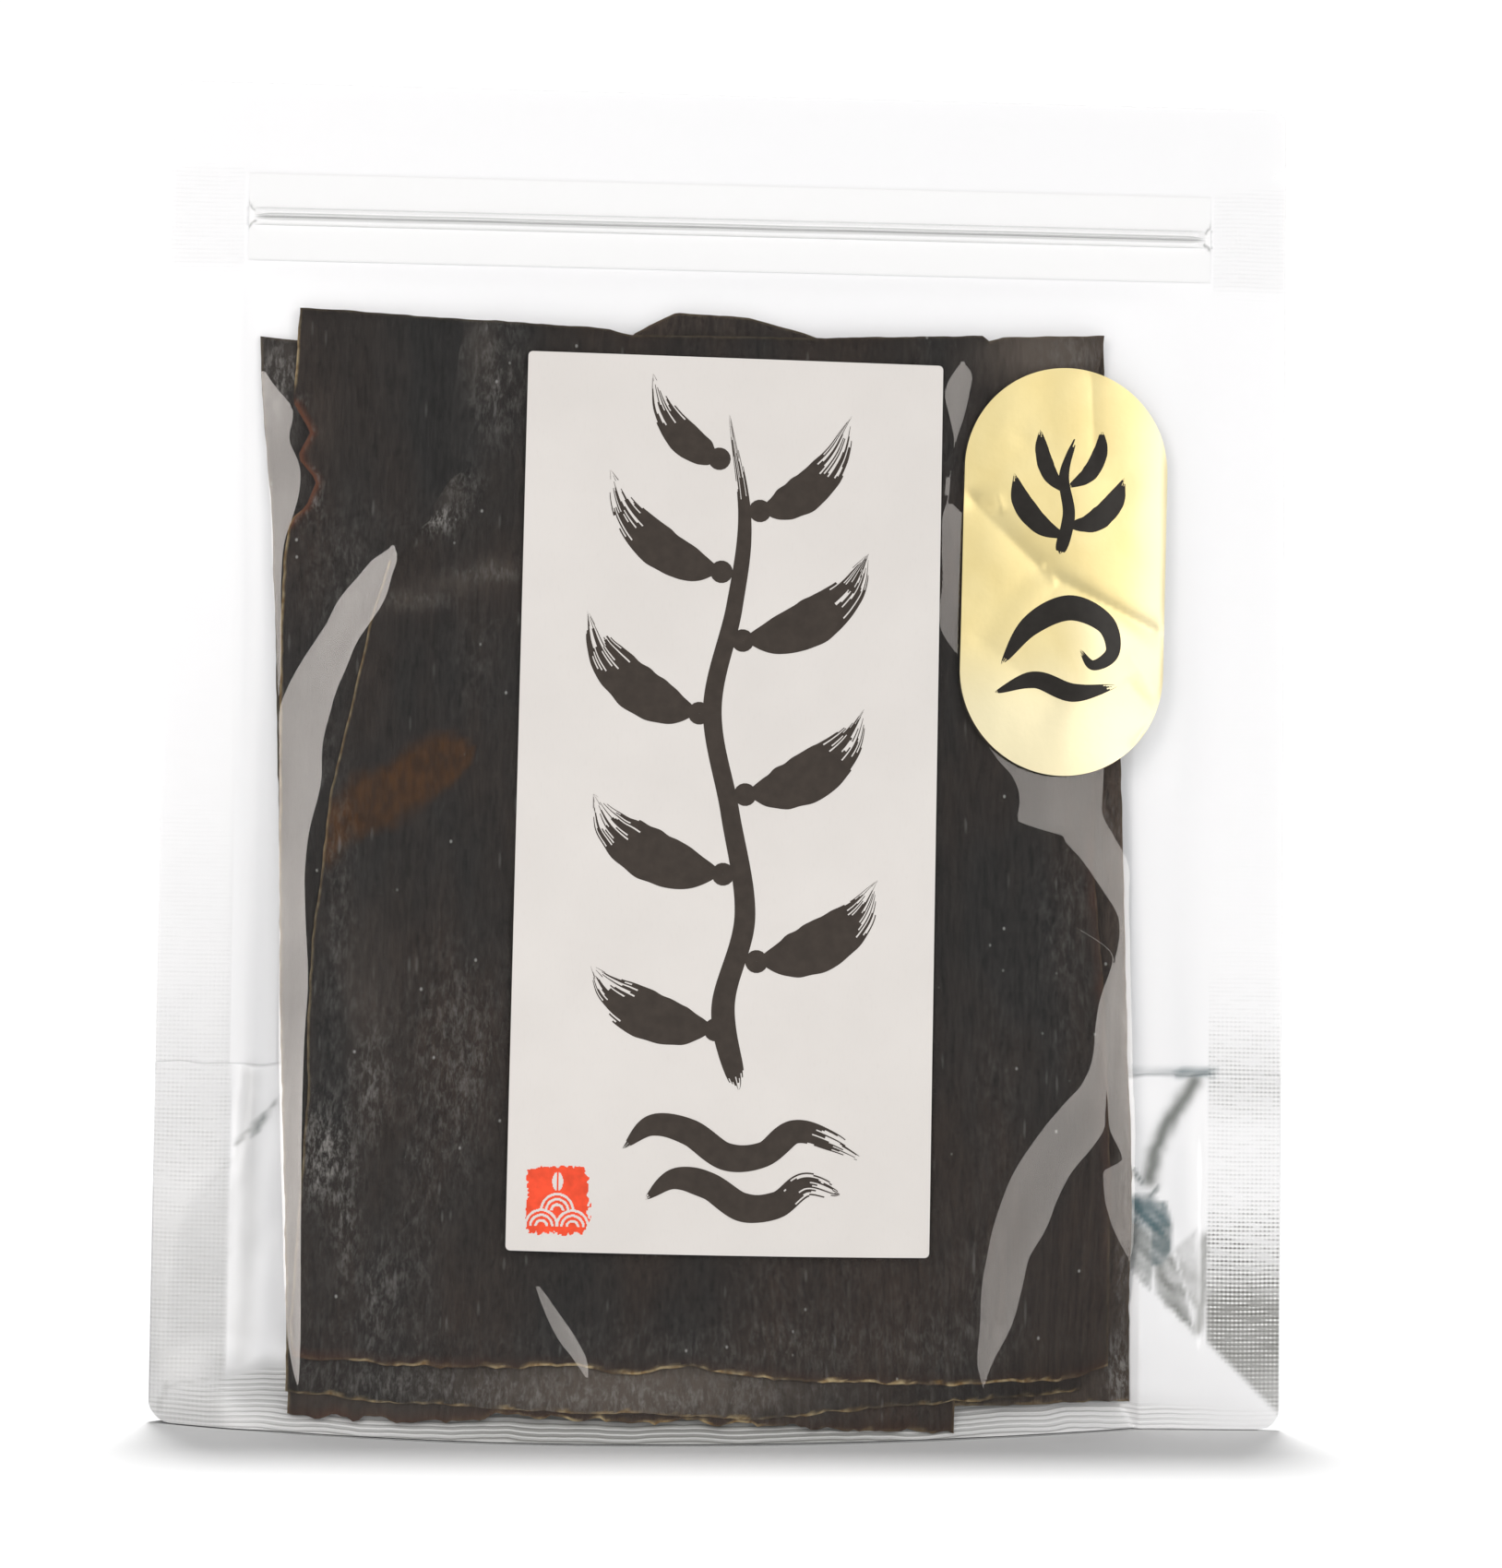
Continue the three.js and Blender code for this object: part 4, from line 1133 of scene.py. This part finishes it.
# Creases of the foil as (from, to, depth, width above, width below), across and up from its middle.
foilCreases = [
    ((-17.5, 12.8), (-3.3, -0.4), 0.55, 1.6, 5.0), ((-3.3, -0.4), (18, -10.5), 0.5, 1.3, 4.2),
    ((-10, 24), (12, 14), 0.14, 5, 5), ((4, 36), (5, 20), 0.2, 3.5, 3.5),
    ((11.5, -19), (17, -25), 0.2, 1.4, 3.2), ((12, -14), (17.5, -22), -0.12, 1.8, 1.8),
    ((-16, -12), (0, -24), 0.16, 5, 5), ((-12.6, 13.2), (-11.4, 10.2), -0.16, 0.6, 0.6),
    ((-3.6, 0.8), (-1.6, -2.2), -0.16, 0.5, 0.5), ((13.2, -30.4), (15.2, -27.4), -0.16, 0.9, 0.9),
]


def foilRelief(across, up):
    relief = 0.1 * lattice(across, up, (9, 14), 42)
    for (ax, az), (bx, bz), depth, above, below in foilCreases:
        run = math.hypot(bx - ax, bz - az)
        away = ((across - ax) * (bz - az) - (up - az) * (bx - ax)) / run
        place = ((across - ax) * (bx - ax) + (up - az) * (bz - az)) / run**2
        width = np.where(away < 0, above, below)
        ends = smooth(place, -0.12, 0.12) * (1 - smooth(place, 0.88, 1.12))
        relief = relief + depth * np.exp(-np.abs(away) / width) * ends
    return relief


def stickerSurface(across, up, out=0.0):
    x, z = turnOn(sticker, across, up)
    y = frontFace(x, z) - sticker["lift"] - out + foilRelief(across, up)
    return grid(x, y, z)


def labelPiece():
    half, tall, corner = label["width"] / 2, label["height"] / 2, label["corner"]
    rim = corner * (1 - np.cos(np.linspace(0, np.pi / 2, 6)))
    up = np.concatenate((-tall + rim, np.linspace(-tall + 2, tall - 2, 110), (tall - rim)[::-1]))[:, None]
    reach = half - cornerInset(corner, tall - np.abs(up))
    across = np.linspace(-1, 1, 60)[None, :] * reach
    front = labelSurface(across, up, label["thickness"])
    back = labelSurface(across, up)
    return finished(shell("label_sheet", front, back, labelPaper()), "label_paper", "label")


def stickerPiece():
    radius = sticker["width"] / 2
    straight = sticker["height"] / 2 - radius
    arc = straight + radius * np.sin(np.linspace(0, np.pi / 2 * 0.985, 34))
    up = np.concatenate((-arc[::-1], np.linspace(-straight, straight, 50)[1:-1], arc))[:, None]
    reach = np.sqrt(radius**2 - np.maximum(0, np.abs(up) - straight) ** 2)
    across = np.linspace(-1, 1, 90)[None, :] * reach
    front = stickerSurface(across, up, sticker["thickness"])
    back = stickerSurface(across, up)
    # painted highlight on the foil below the valley crease, at the right edge and on the lower part
    underValley = along([(-18, 13), (-3.3, -0.4), (18, -10.5)], across) - up
    paintedGleam = 0.6 * smooth(underValley, 0.5, 4) * smooth(across, -4, 8)
    paintedGleam = np.maximum(paintedGleam, np.maximum(0.6 * smooth(across, 10, 18), 0.75 * smooth(-up, 8, 28)))
    piece = shell("gold_sticker", front, back, goldFoil(), attributes={"paintedGleam": paintedGleam})
    return finished(piece, "gold_foil", "foil_sticker")


# One brush stroke: a ribbon of bristles that runs dry towards its end.
def brushStroke(points, widths, surface, thickness, seed, dry=0.35):
    draws = np.random.default_rng(seed)
    points, widths = np.array(points, float), np.array(widths, float)
    stations = np.linspace(0, 1, len(points))
    steps = max(16, int(np.hypot(*np.diff(points, axis=0).T).sum() / 0.45))
    t = np.linspace(0, 1, steps + 1)
    centre = np.stack([throughPoints(stations, points[:, k], t) for k in (0, 1)], -1)
    half = throughPoints(stations, widths, t) / 2 * (1 + 0.05 * lattice(t * 40, 0, (3, 1), seed))
    tangent = np.gradient(centre, axis=0)
    tangent /= np.linalg.norm(tangent, axis=1, keepdims=True)
    normal = np.stack((-tangent[:, 1], tangent[:, 0]), -1)
    bristles = max(6, int(widths.max() / 0.3))
    spread = np.linspace(-1, 1, bristles + 1)
    rounding = np.sqrt(np.clip(1 - (np.abs(t - 0.5) * 2) ** 14, 0.02, 1))
    across = centre[:, None, 0] + normal[:, None, 0] * (half * rounding)[:, None] * spread
    up = centre[:, None, 1] + normal[:, None, 1] * (half * rounding)[:, None] * spread
    runsOut = 1 - dry * draws.uniform(0, 1, bristles) ** 2.2
    starts = 0.03 * draws.uniform(0, 1, bristles)
    middle = (t[1:] + t[:-1])[:, None] / 2
    skips = lattice(middle * steps * 0.45, np.arange(bristles)[None, :], (3.5, 0.9), seed + 1)
    dryness = smooth(middle, 1 - dry, 1.0)
    keep = (middle < runsOut) & (middle > starts) & ~((skips > 0.75 - 0.9 * dryness) & (dryness > 0.05))
    top = surface(across, up, thickness)
    bottom = surface(across, up, 0.0)
    return shellArrays(top, bottom, keep)[:2]


def joined(name, parts, material, slot):
    points, faces, start = [], [], 0
    for partPoints, partFaces in parts:
        points.append(partPoints)
        faces.append(partFaces + start)
        start += len(partPoints)
    return finished(makeObject(name, np.concatenate(points), np.concatenate(faces), {}, material), slot)


def onLabel(across, up, out):
    return labelSurface(across, up, label["thickness"] + out)


def onSticker(across, up, out):
    return stickerSurface(across, up, sticker["thickness"] + out)


# A painted kelp plant: a wandering stem, broad blades to both sides with a round float at each
# root, and rolling water at its foot. Blades are (root x, root z, reach, rise, belly, side).
brushKelp = {
    "stem": [(3, -50), (0, -36), (3.5, -20), (0.5, -2), (-3, 16), (0.5, 34), (2, 50), (-1, 68)],
    "stemWidths": [4.6, 4.0, 3.6, 3.4, 3.2, 3.0, 2.4, 1.0],
    "blades": [
        (1.6, -40, 25, 8, 8.6, -1), (2.8, -28, 24, 11, 8.8, 1), (2.4, -13, 26, 10, 9.0, -1),
        (0.2, 1, 24, 12, 8.6, 1), (-2.4, 15, 23, 13, 8.2, -1), (-0.8, 28, 25, 12, 8.2, 1),
        (1.0, 40, 23, 13, 7.4, -1), (1.8, 51, 19, 13, 6.8, 1), (0.2, 60, 15, 11, 5.8, -1),
    ],
    "waves": [
        [
            (-17, -60.5), (-12, -56.5), (-5.5, -57.5), (1, -61.5), (7.5, -61), (13, -57), (19.5, -58.5),
            (26, -62),
        ],
        [(-13, -69), (-8, -65.5), (-2, -66.5), (4, -70), (10, -69.5), (15, -66), (21, -67.5)],
    ],
    "waveWidths": [1.0, 3.6, 4.6, 4.8, 4.4, 4.2, 3.4, 1.0],
}


def blade(root, reach, rise, belly, side):
    x, z = root
    points = [
        (x + side * 3.4, z + 0.4), (x + side * 0.36 * reach, z + 0.1 * rise),
        (x + side * 0.62 * reach, z + 0.34 * rise), (x + side * 0.86 * reach, z + 0.78 * rise),
        (x + side * reach, z + 1.35 * rise),
    ]
    return points, [1.6, 0.8 * belly, belly, 0.72 * belly, 0.6]


def dotArrays(centre, radius, surface, thickness):
    around = np.linspace(0, 2 * np.pi, 19)[None, :]
    away = np.array([radius, 0.02])[:, None]
    across, up = centre[0] + away * np.cos(around), centre[1] + away * np.sin(around)
    top, bottom = surface(across, up, thickness), surface(across, up, 0.0)
    return shellArrays(top, bottom)[:2]


def labelPrintPiece():
    thick = label["inkThickness"]
    parts = [brushStroke(brushKelp["stem"], brushKelp["stemWidths"], onLabel, thick, 50, 0.12)]
    for k, (x, z, reach, rise, belly, side) in enumerate(brushKelp["blades"]):
        points, widths = blade((x, z), reach, rise, belly, side)
        parts.append(brushStroke(points, widths, onLabel, thick + 0.002 * (k + 1), 60 + 2 * k, 0.4))
        parts.append(dotArrays((x + side * 2.9, z + 0.2), 2.0, onLabel, thick + 0.03))
    for k, wave in enumerate(brushKelp["waves"]):
        widths = brushKelp["waveWidths"][: len(wave)]
        parts.append(brushStroke(wave, widths, onLabel, thick + 0.03, 90 + 2 * k, 0.3))
    return joined("label_print", parts, ink("blackInk", (0.043, 0.034, 0.028), 0.55), "label_paper")


# The red stamp: a worn square with three wave arcs and a leaf left bare.
stamp = {
    "across": -28.2,
    "up": -69.6,
    "half": 5.9,
    "cell": 0.14,
    "arcs": [(-2.7, -4.4), (2.7, -4.4), (0, -1.7)],
    "rings": [1.0, 1.9, 2.75],
    "lineHalf": 0.22,
}


def stampPiece():
    line = np.linspace(-stamp["half"], stamp["half"], int(2 * stamp["half"] / stamp["cell"]) + 1)
    a, b = np.meshgrid(line, line)
    middleA, middleB = (a[1:, 1:] + a[:-1, :-1]) / 2, (b[1:, 1:] + b[:-1, :-1]) / 2
    worn = 0.07 * lattice(middleA, middleB, (0.9, 0.9), 71)
    worn = worn + 0.05 * lattice(middleA, middleB, (0.35, 0.35), 72)
    square = np.abs(middleA / stamp["half"]) ** 7 + np.abs(middleB / stamp["half"]) ** 7
    square = square < (0.94 + worn) ** 7
    bare = np.zeros(square.shape, bool)
    for centreA, centreB in stamp["arcs"]:
        away = np.hypot(middleA - centreA, middleB - centreB)
        for radius in stamp["rings"]:
            bare |= (np.abs(away - radius) < stamp["lineHalf"] + 0.15 * worn) & (middleB > centreB)
    leaf = np.abs(middleA) < 0.95 * np.sqrt(np.clip(1 - ((middleB - 3.2) / 1.6) ** 2, 0, 1))
    bare |= leaf & (np.abs(middleA) >= 0.16)
    top = onLabel(stamp["across"] + a, stamp["up"] + b, label["inkThickness"])
    bottom = onLabel(stamp["across"] + a, stamp["up"] + b, 0.0)
    parts = [shellArrays(top, bottom, square & ~bare)[:2]]
    return joined("red_stamp", parts, ink("redInk", (0.80, 0.075, 0.028), 0.5), "label_paper")


# Two small brush drawings on the foil: a sprig of kelp above, a curling wave below.
foilPrint = {
    "sprig": [
        ([(-1, 3), (0.5, 10), (-0.5, 17), (1.5, 24)], [2.4, 2.2, 1.8, 0.6]),
        ([(0, 6), (-4.5, 8), (-8, 12), (-9.5, 17)], [0.9, 3.4, 3.6, 0.5]),
        ([(0.3, 8), (5, 9), (8.6, 12.5), (10.5, 17)], [0.9, 3.6, 3.6, 0.5]),
        ([(0, 14), (-3, 17), (-4.5, 21), (-5, 25)], [0.8, 2.8, 2.6, 0.5]),
        ([(0.4, 15), (4, 17.5), (6, 21.5), (6.2, 25.5)], [0.8, 2.8, 2.6, 0.5]),
    ],
    "wave": [
        (
            [(-11, -17), (-6, -10), (1, -6.5), (7.5, -9), (9, -14), (5.5, -16.5), (3, -13.8)],
            [1.2, 3.6, 4.4, 3.6, 2.6, 1.8, 0.7],
        ),
        ([(-12, -22), (-5, -19.5), (2, -21.5), (10, -20)], [0.8, 3.0, 3.2, 0.7]),
    ],
}


def foilPrintPiece():
    parts = []
    for k, (points, widths) in enumerate(foilPrint["sprig"] + foilPrint["wave"]):
        thick = sticker["inkThickness"] + 0.002 * k
        parts.append(brushStroke(points, widths, onSticker, thick, 120 + 2 * k, 0.1))
    return joined("foil_print", parts, ink("foilInk", (0.022, 0.02, 0.018), 0.3), "gold_foil")


labelSheet = labelPiece()
labelPrint = labelPrintPiece()
redStamp = stampPiece()
goldSticker = stickerPiece()
goldPrint = foilPrintPiece()
print("label, print and foil sticker made")

studio = {
    "whiteSeen": 1.08,  # the world as the camera sees it
    "whiteGiven": 0.5,  # and as it lights things
    "floorHalf": 0.75,
    "sunTilt": 15.6,  # degrees from overhead, from behind
    "sunPower": 2.3,
    "sunSize": 8,
    "leftLamp": {"at": (-0.62, -1.2, 0.55), "size": (0.46, 0.8), "radiance": 4.0, "tint": (1, 0.925, 0.87)},
    "rightLamp": {"at": (0.80, -1.2, 0.55), "size": (0.50, 0.8), "radiance": 2.4, "tint": (1, 0.925, 0.86)},
    "silverLamp": {"at": (0, -1.05, 0.62), "size": (1.7, 1.0), "radiance": 1.17, "tint": (0.93, 0.965, 1)},
    "foilLamp": {"at": (0, -1.05, 0.62), "size": (1.7, 1.0), "radiance": 0.58, "tint": (1, 1, 1)},
    "card": (-0.34, 0.53, 0.0, 0.9),
    "cardY": -1.2,
    "cardTone": 0.02,
}


def quadObject(name, corners, material):
    mesh = bpy.data.meshes.new(name)
    mesh.from_pydata(corners, [], [(0, 1, 2, 3)])
    mesh.materials.append(material)
    piece = bpy.data.objects.new(name, mesh)
    bpy.context.scene.collection.objects.link(piece)
    return piece


def floorPiece():
    half = studio["floorHalf"]
    n = Nodes("floorWhite")
    white = n.output(n.add("BsdfDiffuse", {"Color": (0.95, 0.95, 0.95, 1)}).outputs[0])
    quadObject("floor", [(-half, -half, 0), (half, -half, 0), (half, half, 0), (-half, half, 0)], white)


# The dark side of the studio, where the camera stands. Only the gloss sees it.
def darkCardPiece():
    n = Nodes("cardBlack")
    black = n.output(n.add("Emission", {"Color": (1, 1, 1, 1), "Strength": studio["cardTone"]}).outputs[0])
    x0, x1, z0, z1 = studio["card"]
    y = studio["cardY"]
    card = quadObject("darkCard", [(x0, y, z0), (x1, y, z0), (x1, y, z1), (x0, y, z1)], black)
    card.visible_camera = False
    card.visible_diffuse = False
    card.visible_shadow = False
    card.visible_transmission = False


def listed(name, pieces):
    collection = bpy.data.collections.new(name)
    for piece in pieces:
        collection.objects.link(piece)
    return collection


def lamp(name, settings, lights, shadedBy=()):
    width, height = settings["size"]
    data = bpy.data.lights.new(name, "AREA")
    data.shape = "RECTANGLE"
    data.size, data.size_y = width, height
    data.energy = settings["radiance"] * math.pi * width * height
    data.color = settings["tint"]
    piece = bpy.data.objects.new(name, data)
    piece.location = settings["at"]
    aim = Vector((0, 0, 0.12)) - Vector(settings["at"])
    piece.rotation_euler = aim.to_track_quat("-Z", "Y").to_euler()
    piece.visible_camera = False
    bpy.context.scene.collection.objects.link(piece)
    piece.light_linking.receiver_collection = listed(name + "Lights", lights)
    if shadedBy:
        piece.light_linking.blocker_collection = listed(name + "Shades", shadedBy)


def studioLight():
    world = bpy.data.worlds.new("studioWorld")
    bpy.context.scene.world = world
    world.use_nodes = True
    nodes, links = world.node_tree.nodes, world.node_tree.links
    background = nodes["Background"]
    ray = nodes.new("ShaderNodeLightPath")
    strength = nodes.new("ShaderNodeMapRange")
    strength.inputs[3].default_value = studio["whiteGiven"]
    strength.inputs[4].default_value = studio["whiteSeen"]
    links.new(ray.outputs["Is Camera Ray"], strength.inputs[0])
    links.new(strength.outputs[0], background.inputs["Strength"])
    background.inputs["Color"].default_value = (1, 1, 1, 1)
    packed = [frontFilm, backPanel, gussetFilm, zipProfile]
    packed += [labelSheet, labelPrint, redStamp, goldSticker, goldPrint]
    packed += kelpPieces
    lamp("leftLamp", studio["leftLamp"], packed)
    lamp("rightLamp", studio["rightLamp"], packed)
    lamp("silverLamp", studio["silverLamp"], (backPanel, gussetFilm, zipProfile), (backPanel, gussetFilm))
    lamp("foilLamp", studio["foilLamp"], [goldSticker])
    sun = bpy.data.objects.new("topSun", bpy.data.lights.new("topSun", "SUN"))
    sun.data.energy = studio["sunPower"]
    sun.data.angle = math.radians(studio["sunSize"])
    sun.rotation_euler = (-math.radians(studio["sunTilt"]), 0, 0)
    sun.visible_glossy = False
    bpy.context.scene.collection.objects.link(sun)


# A long lens a little to the left and just above the middle of the bag, rolled by a degree.
view = {
    "azimuth": -4.327,
    "elevation": 2.5,
    "roll": 1.166,
    "distance": 0.9,
    "target": (3.92, 0, 113.27),
    "focalPixels": 5520.4,
    "pictureTall": 1700,
}


def studioCamera():
    a, e, r = (math.radians(view[key]) for key in ("azimuth", "elevation", "roll"))
    back = Vector((math.sin(a) * math.cos(e), -math.cos(a) * math.cos(e), math.sin(e)))
    right = (-back).cross(Vector((0, 0, 1))).normalized()
    up = right.cross(-back)
    rolledRight = right * math.cos(r) + up * math.sin(r)
    rolledUp = up * math.cos(r) - right * math.sin(r)
    target = (Vector(view["target"]) + Vector((0, shiftY, 0))) * mm
    data = bpy.data.cameras.new("camera")
    data.sensor_width = 36
    data.lens = view["focalPixels"] / view["pictureTall"] * data.sensor_width
    camera = bpy.data.objects.new("camera", data)
    turn = Matrix((rolledRight, rolledUp, back)).transposed().to_4x4()
    camera.matrix_world = Matrix.Translation(target + back * view["distance"]) @ turn
    bpy.context.scene.collection.objects.link(camera)
    bpy.context.scene.camera = camera


floorPiece()
darkCardPiece()
studioLight()
studioCamera()
scene = bpy.context.scene
scene.view_settings.view_transform = "Standard"
scene.cycles.transparent_max_bounces = 24
print("studio made")
